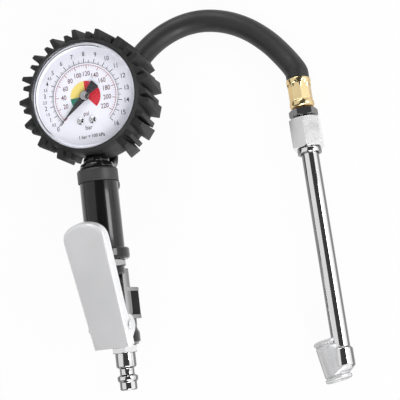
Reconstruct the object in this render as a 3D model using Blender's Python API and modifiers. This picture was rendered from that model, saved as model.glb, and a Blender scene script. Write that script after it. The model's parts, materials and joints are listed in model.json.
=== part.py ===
"""Hand-held tire inflator: dial gauge in a lugged rubber boot, trigger handle, hose and chuck arm.

The tool lies on its back on the plane z = 0. Lengths are in millimetres and MM turns them into metres.
Three frames carry the parts: the gauge frame (z out of the dial, y up the handle), the handle frame
(z up the handle, -y towards the lever) and the table frame, where the hose and the chuck arm lie.
"""

import math

import bmesh
import bpy
from mathutils import Matrix, Vector

MM = 0.001
GAP = 0.3
WELD = 0.000002
OFF_SEAM = 0.07

# How the tool lies on the table
TILT = math.radians(6.0)
GAUGE_HEIGHT = 48.45
LAYOUT_X = -47.1
LAYOUT_Y = 66.9
HANDLE_TWIST = math.radians(12.0)
HANDLE_DEPTH = 13.4

# Gauge and boot
LUG_PAIRS = 17
LUG_STEP = 360.0 / LUG_PAIRS
TALL_RADIUS = 40.0
SHORT_RADIUS = 38.0
BOOT_RADIUS = 34.2
BOOT_DEPTH = 30.5
LUG_ROOT = 33.2
LUG_FRONT = -1.6
LUG_BACK = 28.9
WINDOW_RADIUS = 30.7
CASE_RADIUS = 31.9
CASE_BACK = 28.2
NECK_CLEAR_DEG = 21.0
DIAL_FACE = 6.4
POINTER_FACE = 4.5
POINTER_LENGTH = 23.5
DIAL_START_DEG = 225.0
SCREW_POINTS = ((-3.4, -15.2), (4.0, -14.6))

# Pressure movement
PINION_RADIUS = 1.0
SECTOR_RADIUS = 13.6
SECTOR_PIVOT = (3.5, -14.5)
SECTOR_REST_DEG = 12.0
TUBE_COIL_RADIUS = 24.0
SECTOR_TAIL_RADIUS = 4.4
SECTOR_TAIL_DEG = -73.0
LINK_HEAD = (16.6, -9.2)
TUBE_START_DEG = 251.0
TUBE_SWEEP_DEG = 266.0

# Head casting and hose port, behind the gauge
PORT_POINT = (3.0, -12.0, -39.0)
PORT_HEADING = math.radians(60.0)
PORT_RADIUS = 8.0

# Handle, measured down from the dial's centre
NECK_TOP = -34.9
COLLAR_TOP = -42.4
COLLAR_FOOT = -50.2
COLLAR_RADIUS = 11.9
TUBE_RADIUS = 11.1
TUBE_BORE = 9.9
TUBE_TOP = -46.8
TUBE_FOOT = -92.1
LOWER_COLLAR_TOP = -89.4
LOWER_COLLAR_FOOT = -96.1
LOWER_COLLAR_RADIUS = 13.6
NUT_ACROSS_FLATS = 21.0
BODY_TOP = -100.4
BODY_FOOT = -144.0
VALVE_LEVEL = -121.3
BLEED_LEVEL = -50.5

# Inlet, set back from the handle's axis
INLET_BACK = 9.8
INLET_TIP = -170.8

# Lever, about its pivot
PIVOT_FRONT = 2.5
PIVOT_LEVEL = -134.0
LEVER_RISE = math.radians(17.3)
LEVER_FACE = 5.9
LEVER_FOOT = -11.2
LEVER_SHOULDER = 52.0
LEVER_TIP = 62.6
LEVER_HALF_FOOT = 11.9
LEVER_HALF_SHOULDER = 13.5
LEVER_DEPTH = 5.5
SHEET = 1.2

# Hose and chuck arm, on the table
HOSE_RADIUS = 6.75
HOSE_ROUTE = (
    (19.1, 19.9, 11.37),
    (20.15, 21.69, 11.56),
    (23.7, 27.3, 10.8),
    (28.3, 33.0, 9.6),
    (33.7, 38.0, 8.5),
    (39.7, 42.1, 7.7),
    (46.3, 45.2, 7.2),
    (53.3, 47.2, 7.0),
    (60.7, 48.0, 7.0),
    (68.1, 47.6, 7.0),
    (75.5, 46.0, 7.0),
    (82.7, 43.4, 7.0),
    (89.5, 39.8, 7.0),
    (95.8, 35.4, 7.0),
    (101.6, 30.2, 7.1),
    (106.8, 24.6, 7.4),
    (111.2, 18.8, 7.9),
    (115.0, 13.2, 8.7),
    (117.8, 8.6, 9.4),
    (119.5, 4.8, 9.75),
    (119.76, 1.9, 9.845),
)
HOSE_STEPS = 2
ARM_POINT = (120.9, -23.4, 9.845)
ARM_TURN = math.radians(2.58)
TUBE_R = 5.0
TUBE_END = -126.5
CHUCK_POINT = (121.2, -163.8, 7.6)
CHUCK_TURN = math.radians(12.0)
CHUCK_HALF = 11.5
CHUCK_RADIUS = 7.3
RIM_RADIUS = 7.6
SOCKET_RADIUS = 6.8


def clear_scene():
    """Start from an empty scene."""
    for obj in list(bpy.data.objects):
        bpy.data.objects.remove(obj, do_unlink=True)


def new_collection(name, hidden=False):
    """A collection of the scene, hidden from renders where it holds cutters."""
    collection = bpy.data.collections.new(name)
    bpy.context.scene.collection.children.link(collection)
    collection.hide_render = hidden
    return collection


def make_material(name, color, metallic, roughness, alpha=1.0):
    """A Principled material."""
    material = bpy.data.materials.new(name)
    material.use_nodes = True
    shader = material.node_tree.nodes["Principled BSDF"]
    shader.inputs["Base Color"].default_value = (*color, 1.0)
    shader.inputs["Metallic"].default_value = metallic
    shader.inputs["Roughness"].default_value = roughness
    shader.inputs["Alpha"].default_value = alpha
    material.diffuse_color = (*color, alpha)
    return material


def make_materials():
    """The finishes of the tool, by name."""
    return {
        "boot_rubber": make_material("boot_rubber", (0.035, 0.035, 0.034), 0.0, 0.62),
        "hose_rubber": make_material("hose_rubber", (0.02, 0.02, 0.022), 0.0, 0.42),
        "seal_rubber": make_material("seal_rubber", (0.015, 0.015, 0.015), 0.0, 0.7),
        "black_casting": make_material("black_casting", (0.012, 0.012, 0.013), 0.0, 0.25),
        "black_plastic": make_material("black_plastic", (0.03, 0.03, 0.031), 0.0, 0.5),
        "chrome": make_material("chrome", (0.75, 0.75, 0.76), 1.0, 0.12),
        "satin_steel": make_material("satin_steel", (0.62, 0.62, 0.63), 1.0, 0.32),
        "brass": make_material("brass", (0.78, 0.58, 0.25), 1.0, 0.25),
        "white_plastic": make_material("white_plastic", (0.86, 0.86, 0.88), 0.0, 0.45),
        "dial_white": make_material("dial_white", (0.9, 0.9, 0.91), 0.0, 0.5),
        "pointer_black": make_material("pointer_black", (0.02, 0.02, 0.022), 0.0, 0.5),
        "clear_lens": make_material("clear_lens", (0.95, 0.96, 0.97), 0.0, 0.05, 0.3),
    }


def scaled(points):
    """Millimetre points as metres."""
    return [tuple(value * MM for value in point) for point in points]


def add_empty(name, parent=None, location=(0.0, 0.0, 0.0), rotation=(0.0, 0.0, 0.0)):
    """An empty that carries a frame or a joint's axis."""
    empty = bpy.data.objects.new(name, None)
    empty.empty_display_size = 0.01
    PARTS.objects.link(empty)
    place(empty, parent, location, rotation)
    return empty


def place(obj, parent, location=(0.0, 0.0, 0.0), rotation=(0.0, 0.0, 0.0)):
    """Parent an object and place it, with the location in millimetres."""
    obj.parent = parent
    obj.location = Vector(location) * MM
    obj.rotation_euler = rotation


def add_object(name, data, material, parent, location, rotation):
    """Link a new object to the parts and place it."""
    obj = bpy.data.objects.new(name, data)
    PARTS.objects.link(obj)
    if material:
        data.materials.append(MATERIALS[material])
    place(obj, parent, location, rotation)
    return obj


def to_mesh(obj):
    """Turn a curve, or a mesh with its modifiers, into a plain mesh of the same name and place."""
    bpy.context.view_layer.update()
    graph = bpy.context.evaluated_depsgraph_get()
    mesh = bpy.data.meshes.new_from_object(obj.evaluated_get(graph), depsgraph=graph)
    if obj.type == "MESH":
        obj.modifiers.clear()
        obj.data = mesh
        return obj
    work = bmesh.new()
    work.from_mesh(mesh)
    bmesh.ops.remove_doubles(work, verts=work.verts, dist=WELD)
    bmesh.ops.recalc_face_normals(work, faces=work.faces)
    work.to_mesh(mesh)
    work.free()
    result = bpy.data.objects.new("mesh_of_" + obj.name, mesh)
    PARTS.objects.link(result)
    result.parent = obj.parent
    result.matrix_basis = obj.matrix_basis.copy()
    name = obj.name
    bpy.data.objects.remove(obj, do_unlink=True)
    result.name = name
    return result


def smooth(obj, angle=35.0):
    """Round surfaces shade smooth, with edges sharper than the angle kept."""
    obj.data.shade_smooth()
    obj.data.set_sharp_from_angle(angle=math.radians(angle))
    return obj


def turned(name, profile, material=None, parent=None, location=(0, 0, 0), rotation=(0, 0, 0), steps=18):
    """A profile of (radius, height) points, down its outer side, turned about z."""
    mesh = bpy.data.meshes.new(name)
    closed = profile[0] == profile[-1]
    points = [(radius, 0.0, height) for radius, height in scaled(profile[:-1] if closed else profile)]
    edges = [(i, i + 1) for i in range(len(points) - 1)]
    if closed:
        edges.append((len(points) - 1, 0))
    mesh.from_pydata(points, edges, [])
    obj = add_object(name, mesh, material, parent, location, rotation)
    screw = obj.modifiers.new("turn", "SCREW")
    screw.steps = steps
    screw.render_steps = steps
    screw.use_merge_vertices = True
    screw.merge_threshold = 0.00001
    screw.use_normal_calculate = False
    return smooth(to_mesh(obj))


def ring_profile(inner, outer, top, foot, bevel=0.0):
    """A closed profile of a ring or sleeve, with its outer edges chamfered."""
    points = [(inner, top), (outer - bevel, top)]
    if bevel:
        points += [(outer, top - bevel), (outer, foot + bevel)]
    points += [(outer - bevel, foot), (inner, foot), (inner, top)]
    return points


def extruded(name, outline, thickness, material=None, parent=None, location=(0, 0, 0), rotation=(0, 0, 0),
             bevel=0.0, round_steps=2):
    """A flat outline made solid, centred on its plane, with rounded edges where bevel is given."""
    curve = bpy.data.curves.new(name, "CURVE")
    curve.dimensions = "2D"
    curve.fill_mode = "BOTH"
    curve.extrude = (thickness / 2 - bevel) * MM
    curve.bevel_depth = bevel * MM
    curve.bevel_resolution = round_steps - 1 if bevel else 0
    curve.offset = -bevel * MM
    spline = curve.splines.new("POLY")
    spline.points.add(len(outline) - 1)
    for point, (x, y) in zip(spline.points, scaled(outline)):
        point.co = (x, y, 0.0, 1.0)
    spline.use_cyclic_u = True
    obj = add_object(name, curve, material, parent, location, rotation)
    return smooth(to_mesh(obj))


def swept(name, route, radius, material=None, parent=None, location=(0, 0, 0), rotation=(0, 0, 0),
          resolution=2, flat=0.0, closed=False):
    """A round wire or tube along a route, or a flattened one where flat gives its straight half width."""
    curve = bpy.data.curves.new(name, "CURVE")
    curve.dimensions = "3D"
    curve.bevel_depth = radius * MM
    curve.bevel_resolution = resolution
    curve.extrude = flat * MM
    curve.use_fill_caps = not closed
    curve.twist_mode = "Z_UP" if flat else "MINIMUM"
    spline = curve.splines.new("POLY")
    spline.points.add(len(route) - 1)
    for point, co in zip(spline.points, scaled(route)):
        point.co = (*co, 1.0)
    spline.use_cyclic_u = closed
    obj = add_object(name, curve, material, parent, location, rotation)
    return smooth(to_mesh(obj))


def block(name, size, material=None, parent=None, location=(0, 0, 0), rotation=(0, 0, 0)):
    """A box of the given size, centred on its location."""
    mesh = bpy.data.meshes.new(name)
    work = bmesh.new()
    bmesh.ops.create_cube(work, size=MM, matrix=Matrix.Diagonal((*size, 1.0)))
    work.to_mesh(mesh)
    work.free()
    return add_object(name, mesh, material, parent, location, rotation)


def combine(obj, tools, operation):
    """Cut, join or trim an object with others, which then stay as hidden wires."""
    for tool in tools:
        modifier = obj.modifiers.new(tool.name, "BOOLEAN")
        modifier.operation = operation
        modifier.solver = "EXACT"
        modifier.object = tool
    to_mesh(obj)
    for tool in tools:
        PARTS.objects.unlink(tool)
        CUTTERS.objects.link(tool)
        tool.hide_render = True
        tool.display_type = "WIRE"
    return smooth(obj)


def cut(obj, *tools):
    return combine(obj, tools, "DIFFERENCE")


def join(obj, *tools):
    return combine(obj, tools, "UNION")


def trim(obj, *tools):
    return combine(obj, tools, "INTERSECT")


def polar(radius, degrees):
    """A point at a radius and an angle."""
    angle = math.radians(degrees)
    return (radius * math.cos(angle), radius * math.sin(angle))


def arc(center, radius, start, end, steps):
    """Points along an arc, both ends included, with angles in degrees."""
    points = []
    for i in range(steps + 1):
        x, y = polar(radius, start + (end - start) * i / steps)
        points.append((center[0] + x, center[1] + y))
    return points


def capsule(tail, head, radius, steps=6):
    """Outline of a straight bar with round ends."""
    turn = math.degrees(math.atan2(head[1] - tail[1], head[0] - tail[0]))
    return arc(tail, radius, turn + 90, turn + 270, steps) + arc(head, radius, turn - 90, turn + 90, steps)


def rounded(corners, radius, steps=3):
    """An outline whose convex corners are rounded."""
    points = []
    count = len(corners)
    for i, corner in enumerate(corners):
        here = Vector(corner)
        before = (Vector(corners[i - 1]) - here).normalized()
        after = (Vector(corners[(i + 1) % count]) - here).normalized()
        half = before.angle(after) / 2
        reach = radius / math.tan(half)
        start = here + before * reach
        end = here + after * reach
        for step in range(steps + 1):
            t = step / steps
            points.append(tuple(start * (1 - t) ** 2 + here * 2 * t * (1 - t) + end * t ** 2))
    return points


def hexagon(name, across, top, foot, material=None, parent=None, location=(0, 0, 0), rotation=(0, 0, 0),
            hole=0.0):
    """A hex nut with the arcs of a turned chamfer at both ends and a bore where a hole is given."""
    corner = across / math.sqrt(3.0)
    prism = turned(name, [(0, top), (corner, top), (corner, foot), (0, foot)], material, parent,
                   location, rotation, steps=6)
    rise = (corner - across / 2) * 0.6
    shave = turned(name + "_chamfer",
                   [(0, top + 0.01), (across / 2 - 0.1, top + 0.01), (corner + 0.2, top - rise),
                                       (corner + 0.2, foot + rise), (across / 2 - 0.1, foot - 0.01),
                                       (0, foot - 0.01)], None, parent, location, rotation, steps=18)
    shave.data.transform(Matrix.Rotation(OFF_SEAM, 4, "Z"))
    trim(prism, shave)
    if hole:
        cut(prism, bore(name + "_bore", [(hole, top + 2, foot - 2)], parent, location, rotation))
    return prism


def rod(name, radius, top, foot, material=None, parent=None, location=(0, 0, 0), rotation=(0, 0, 0),
        steps=12):
    """A plain cylinder along z."""
    return turned(name, [(0, top), (radius, top), (radius, foot), (0, foot)], material, parent, location,
                  rotation, steps)


def bore(name, stages, parent=None, location=(0, 0, 0), rotation=(0, 0, 0), steps=12):
    """A stepped drill along z, from stages of (radius, top, foot) that follow each other down."""
    profile = [(0, stages[0][1])]
    for radius, top, foot in stages:
        profile += [(radius, top), (radius, foot)]
    drill = turned(name, profile + [(0, stages[-1][2])], None, parent, location, rotation, steps)
    drill.data.transform(Matrix.Rotation(OFF_SEAM, 4, "Z"))
    return drill


def helix(radius, start, end, turns, per_turn=8):
    """Route of a compression spring along z."""
    count = int(turns * per_turn)
    points = []
    for i in range(count + 1):
        x, y = polar(radius, 360.0 * turns * i / count)
        points.append((x, y, start + (end - start) * i / count))
    return points


# Directions of parts that don't stand along their frame's z
ALONG_Y = (-math.pi / 2, 0.0, 0.0)
TO_BACK = ALONG_Y
TO_FRONT = (math.pi / 2, 0.0, 0.0)
ALONG_X = (0.0, math.pi / 2, 0.0)
SIDE_VIEW = (math.pi / 2, 0.0, -math.pi / 2)


def make_boot(gauge):
    """Rubber boot: a turned cup with tall and short swept lugs, open where the neck enters."""
    cavity = CASE_RADIUS + GAP
    floor = -CASE_BACK - 0.5
    boot = turned(
        "rubber_boot",
        [(0, floor), (cavity, floor), (cavity, -1.6), (WINDOW_RADIUS, -1.6), (WINDOW_RADIUS, -0.3),
         (WINDOW_RADIUS + 0.5, 0), (32.5, -0.3), (33.9, -2.4), (BOOT_RADIUS, -LUG_BACK - 0.5),
         (32.8, -BOOT_DEPTH), (0, -BOOT_DEPTH)],
        "boot_rubber", gauge, steps=2 * LUG_PAIRS,
    )
    mesh = bpy.data.meshes.new("boot_lugs")
    work = bmesh.new()
    for pair in range(LUG_PAIRS):
        for shape in (tall_lug, short_lug):
            middle = (LUG_STEP * pair + (5.0 if shape is tall_lug else -7.0) + 90.0) % 360.0
            if min(middle, 360.0 - middle) > NECK_CLEAR_DEG:
                add_lug(work, LUG_STEP * pair, shape)
    bmesh.ops.recalc_face_normals(work, faces=work.faces)
    work.to_mesh(mesh)
    work.free()
    lugs = add_object("boot_lugs", mesh, None, gauge, (0, 0, 0), (0, 0, 0))
    join(boot, lugs)
    stem = bore("boot_stem_hole", [(6.0, -26, -38)], gauge, (0, 0, -HANDLE_DEPTH), ALONG_Y)
    return cut(boot, stem)


def tall_lug(side, outer, back):
    """Angle, radius and height of a tall lug's corner at a side, root or top, and back or front."""
    if not outer and back:
        return (9.2, -2.3)[side], LUG_ROOT, -LUG_BACK
    if not outer:
        return (10.6, 3.0)[side], LUG_ROOT, LUG_FRONT
    if back:
        return (9.0, -1.3)[side], TALL_RADIUS, -LUG_BACK
    return (10.0, 6.5)[side], TALL_RADIUS - 0.4, LUG_FRONT - 0.5


def short_lug(side, outer, back):
    """Corner of a short lug, as for a tall one."""
    if not outer and back:
        return (-5.9, -11.3)[side], LUG_ROOT, -LUG_BACK
    if not outer:
        return (-2.4, -9.2)[side], LUG_ROOT, LUG_FRONT
    if back:
        return (-6.5, -11.2)[side], SHORT_RADIUS, -LUG_BACK
    return (-2.9, -6.3)[side], SHORT_RADIUS - 0.4, LUG_FRONT - 0.5


def add_lug(work, turn, corner):
    """One lug: a cube whose corners are drawn out to the lug's swept taper."""
    made = bmesh.ops.create_cube(work, size=2.0)
    for vert in made["verts"]:
        degrees, radius, height = corner(int(vert.co.x > 0), vert.co.y > 0, vert.co.z < 0)
        x, y = polar(radius, degrees + turn)
        vert.co = Vector((x, y, height)) * MM


def make_gauge(gauge):
    """Case, lens, dial, pointer and the pressure movement behind them."""
    case = turned(
        "gauge_case",
        [(0, -27.4), (31.1, -27.4), (31.1, -3.6), (CASE_RADIUS, -3.6), (CASE_RADIUS, -27.4),
         (31.1, -CASE_BACK), (0, -CASE_BACK)],
        "black_plastic", gauge, steps=32,
    )
    cut(case, bore("case_stem_hole", [(5.6, -24, -36)], gauge, (0, 0, -HANDLE_DEPTH), ALONG_Y))
    turned(
        "lens",
        [(0, -2.0), (28.9, -2.1), (29.7, -3.3), (31.7, -3.3), (31.7, -1.9), (30.4, -1.9), (30.2, -0.9),
         (27.5, -0.4), (0, -0.2)][::-1],
        "clear_lens", gauge, steps=32,
    )
    turned("dial_spacer", [(29.9, -3.9), (30.8, -3.9), (30.8, -6.1), (29.1, -6.1), (29.9, -3.9)],
           "white_plastic", gauge, steps=32)
    dial = turned("dial_plate", ring_profile(1.9, 30.6, -DIAL_FACE, -7.0), "dial_white", gauge, steps=32)
    for side, (x, y) in zip(("left", "right"), SCREW_POINTS):
        cut(dial, bore("dial_hole_" + side, [(1.3, -5, -8)], gauge, (x, y, 0), steps=10))
        screw = turned(
            "dial_screw_" + side,
            [(0, -5.2), (1.3, -5.3), (2.0, -5.6), (2.2, -6.1), (1.0, -6.1), (1.0, -8.2), (0, -8.2)],
            "chrome", gauge, (x, y, 0), steps=10,
        )
        slots = [block("cross_%s_%d" % (side, turn), (2.6, 0.5, 1.0), None, gauge, (x, y, -5.3),
                       (0, 0, math.radians(turn))) for turn in (25, 115)]
        cut(screw, *slots)
    make_pointer(gauge)
    make_movement(gauge)


def make_pointer(gauge):
    """Pointer with its flared tail, on the pinion's shaft, turned to zero on the scale."""
    axis = add_empty("pointer_axis", gauge, rotation=(0, 0, math.radians(DIAL_START_DEG)))
    needle = [(POINTER_LENGTH, 0.15)] + arc((0, 0), 3.0, 40, 150, 6)
    tail = [(-9.0, 3.0), (-9.6, 2.4)]
    upper = needle + tail
    outline = upper + [(x, -y) for x, y in reversed(upper)]
    pointer = extruded("pointer", outline, 0.4, "pointer_black", axis, (0, 0, -POINTER_FACE - 0.2))
    cut(pointer, bore("pointer_hole", [(1.3, -3, -6)], axis, steps=10))
    hub = turned(
        "pointer_hub",
        [(0, -3.5), (0.5, -3.5), (0.6, -3.7), (2.6, -3.7), (2.7, -4.2), (PINION_RADIUS, -4.2),
         (PINION_RADIUS, -17.4), (0, -17.4)],
        "satin_steel", axis, steps=12,
    )
    cut(hub, *[
        block("pinion_gap_%d" % tooth, (1.0, 0.24, 3.0), None, axis,
              (*polar(PINION_RADIUS + 0.2, tooth * 60.0), -12.5), (0, 0, math.radians(tooth * 60.0)))
        for tooth in range(6)
    ])


def make_movement(gauge):
    """Bourdon tube on its socket, the movement's plates, sector, link and hairspring."""
    level = -HANDLE_DEPTH
    socket = block("gauge_socket", (14.0, 9.8, 10.5), "brass", gauge, (0, -24.9, level))
    stem = turned("socket_stem", [(0, -26), (5.3, -26), (5.3, -40.9), (4.7, -41.5), (0, -41.5)], None, gauge,
                  (0, 0, level), ALONG_Y, steps=16)
    join(socket, stem)
    cut(socket, bore("socket_bore", [(1.6, -27, -45)], gauge, (0, 0, level), ALONG_Y, steps=10))
    route = [(*polar(TUBE_COIL_RADIUS, TUBE_START_DEG - TUBE_SWEEP_DEG * i / 18), level) for i in range(19)]
    tube = swept("bourdon_tube", route, 1.1, "brass", gauge, resolution=1, flat=2.4)
    tip = polar(TUBE_COIL_RADIUS - 0.4, TUBE_START_DEG - TUBE_SWEEP_DEG + 4.0)
    join(tube, extruded("tube_lug", capsule(LINK_HEAD, tip, 1.6), 1.4, None, gauge, (0, 0, -9.7)))

    plate = rounded([(-8, -19.6), (8, -19.6), (8, 5), (-8, 5)], 3.0)
    back = extruded("movement_plate", plate, 1.2, "brass", gauge, (0, 0, -17.0))
    posts = [rod("post_%d" % i, 1.2, -9.8, -17.0, None, gauge, (x, 2.6, 0), steps=10)
             for i, x in enumerate((-5.6, 5.6))]
    join(back, *posts)
    bridge = extruded("movement_bridge", plate, 1.0, "brass", gauge, (0, 0, -9.0))
    for base in (back, bridge):
        cut(base, bore(base.name + "_shaft_hole", [(1.3, -7, -19)], gauge, steps=10))

    rest = (0, 0, math.radians(SECTOR_REST_DEG))
    sector_axis = add_empty("sector_axis", gauge, (*SECTOR_PIVOT, 0.0), rest)
    teeth = []
    for tooth in range(14):
        for part, radius in ((0.0, SECTOR_RADIUS), (0.5, SECTOR_RADIUS - 0.7)):
            for edge in (0.1, 0.4):
                teeth.append(polar(radius, 64.0 + 2.4 * (tooth + part + edge)))
    tail = polar(SECTOR_TAIL_RADIUS, SECTOR_TAIL_DEG)
    sector = teeth + [(-1.0, 7.0)] + arc((0, 0), 2.2, 130, 200, 3)
    sector += arc(tail, 1.3, SECTOR_TAIL_DEG - 90, SECTOR_TAIL_DEG + 90, 5)
    sector += arc((0, 0), 2.2, -20, 40, 3) + [(2.6, 7.0)]
    sector_gear = extruded("sector_gear", sector, 1.0, "brass", sector_axis, (0, 0, -12.5))
    staff = rod("sector_staff", 0.7, -9.9, -16.1, None, sector_axis, steps=10)
    join(sector_gear, staff)

    x, y = polar(SECTOR_TAIL_RADIUS, SECTOR_TAIL_DEG + SECTOR_REST_DEG)
    link_tail = (SECTOR_PIVOT[0] + x, SECTOR_PIVOT[1] + y)
    extruded("tube_link", capsule(link_tail, LINK_HEAD, 1.2), 0.8, "satin_steel", gauge, (0, 0, -11.1))
    spiral = [(*polar(2.2 + 2.6 * i / 40, 27.0 * i), -14.6) for i in range(41)]
    swept("hairspring", spiral, 0.22, "satin_steel", gauge, resolution=0)


def make_head(gauge, handle):
    """Head casting: the neck under the gauge, the riser behind it and the boss of the hose port."""
    casting = turned(
        "head_casting",
        [(0, NECK_TOP), (6.3, NECK_TOP), (7.2, -35.8), (7.6, -37.6), (7.3, -38.2), (9.3, -39.2),
         (10.0, -41.4), (9.6, -42.1), (7.5, -42.1), (7.5, -57.0), (6.8, -57.0), (6.8, -59.2),
         (7.5, -59.2), (7.5, -61.4), (6.9, -62.0), (0, -62.0)],
        "black_casting", handle, steps=24,
    )
    bend = arc((-31.0, -31.0), 7.7, -95, -170, 5)
    route = [(-17.0, -38.7, 0.0), (-25.0, -38.7, 0.0)] + [(z, y, 0.0) for z, y in bend]
    route += [(-39.2, -22.0, 0.0), (PORT_POINT[2], PORT_POINT[1], 0.0)]
    riser = swept("riser", route, 2.9, None, gauge, rotation=(0.0, -math.pi / 2, 0.0), resolution=2,
                  flat=4.0)
    port = add_empty("port_frame", gauge, PORT_POINT, (-math.pi / 2, 0.0, PORT_HEADING - math.pi / 2))
    boss = turned(
        "port_boss",
        [(0, 8.6), (7.4, 8.6), (PORT_RADIUS, 7.9), (PORT_RADIUS, -5.0), (7.0, -7.4), (4.6, -8.6), (0, -8.6)],
        None, port, steps=20,
    )
    join(casting, riser, boss)
    cut(casting,
        bore("stem_socket", [(5.6, -30, -42.0), (3.0, -42.0, -64)], handle),
        bore("port_thread", [(4.6, 12.0, -2.0)], port),
        bore("bleed_bore", [(1.6, 10.0, 0.0)], handle, (0, 0, BLEED_LEVEL), TO_BACK, steps=10))
    ring("head_seal", 8.3, 0.9, "seal_rubber", handle, -58.1)
    return port


def ring(name, radius, wire, material, parent, level, location=(0, 0), rotation=(0, 0, 0), steps=16):
    """A round seal ring about z."""
    circle = arc((0, 0), wire, 90, -270, 6)
    profile = [(radius + x, level + z) for x, z in circle]
    return turned(name, profile, material, parent, (*location, 0.0), rotation, steps)


def make_handle(handle):
    """Collars, painted tube and hex nut of the grip."""
    collar = turned(
        "upper_collar",
        [(7.9, COLLAR_TOP), (9.6, COLLAR_TOP), (11.2, -43.3), (COLLAR_RADIUS, -45.2),
         (COLLAR_RADIUS, COLLAR_FOOT), (11.4, COLLAR_FOOT), (11.4, -46.5), (7.9, -46.5),
         (7.9, COLLAR_TOP)],
        "black_plastic", handle, steps=24,
    )
    boss = rod("bleed_boss", 4.85, 17.0, 8.4, None, handle, (0, 0, BLEED_LEVEL), TO_BACK, steps=16)
    join(collar, boss)
    cut(collar, bore("button_bore", [(3.3, 20.0, 11.4), (1.6, 11.4, 6.0)], handle, (0, 0, BLEED_LEVEL),
                     TO_BACK))
    tube = turned(
        "handle_tube",
        [(TUBE_BORE, TUBE_TOP), (TUBE_RADIUS, TUBE_TOP), (TUBE_RADIUS, TUBE_FOOT), (TUBE_BORE, TUBE_FOOT),
         (TUBE_BORE, TUBE_TOP)],
        "black_casting", handle, steps=24,
    )
    cut(tube,
        bore("tube_notch", [(5.2, 16.0, 4.0)], handle, (0, 0, BLEED_LEVEL), TO_BACK, steps=16),
        block("tube_notch_mouth", (10.4, 12.0, 8.0), None, handle, (0, 10.0, BLEED_LEVEL + 4.0)))
    turned(
        "lower_collar",
        [(11.4, LOWER_COLLAR_TOP), (12.9, LOWER_COLLAR_TOP), (LOWER_COLLAR_RADIUS, -90.2),
         (LOWER_COLLAR_RADIUS, -94.4), (13.2, -95.5), (12.0, LOWER_COLLAR_FOOT), (8.3, LOWER_COLLAR_FOOT),
         (8.3, -92.4), (11.4, -92.4), (11.4, LOWER_COLLAR_TOP)],
        "black_casting", handle, steps=26,
    )
    hexagon("hex_nut", NUT_ACROSS_FLATS, -96.4, -100.1, "chrome", handle, hole=8.3)


def make_bleed(handle):
    """Bleed button with its spring and seal, in the collar's boss behind the handle."""
    axis = add_empty("bleed_axis", handle, (0, 0, BLEED_LEVEL), TO_BACK)
    turned("bleed_button",
           [(0, 20.2), (1.9, 19.9), (2.8, 18.9), (2.9, 15.4), (1.2, 15.4), (1.2, 4.2), (0, 4.2)],
           "chrome", axis, steps=12)
    swept("bleed_spring", helix(2.3, 11.8, 15.0, 3.0), 0.25, "satin_steel", axis, resolution=0)


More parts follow.
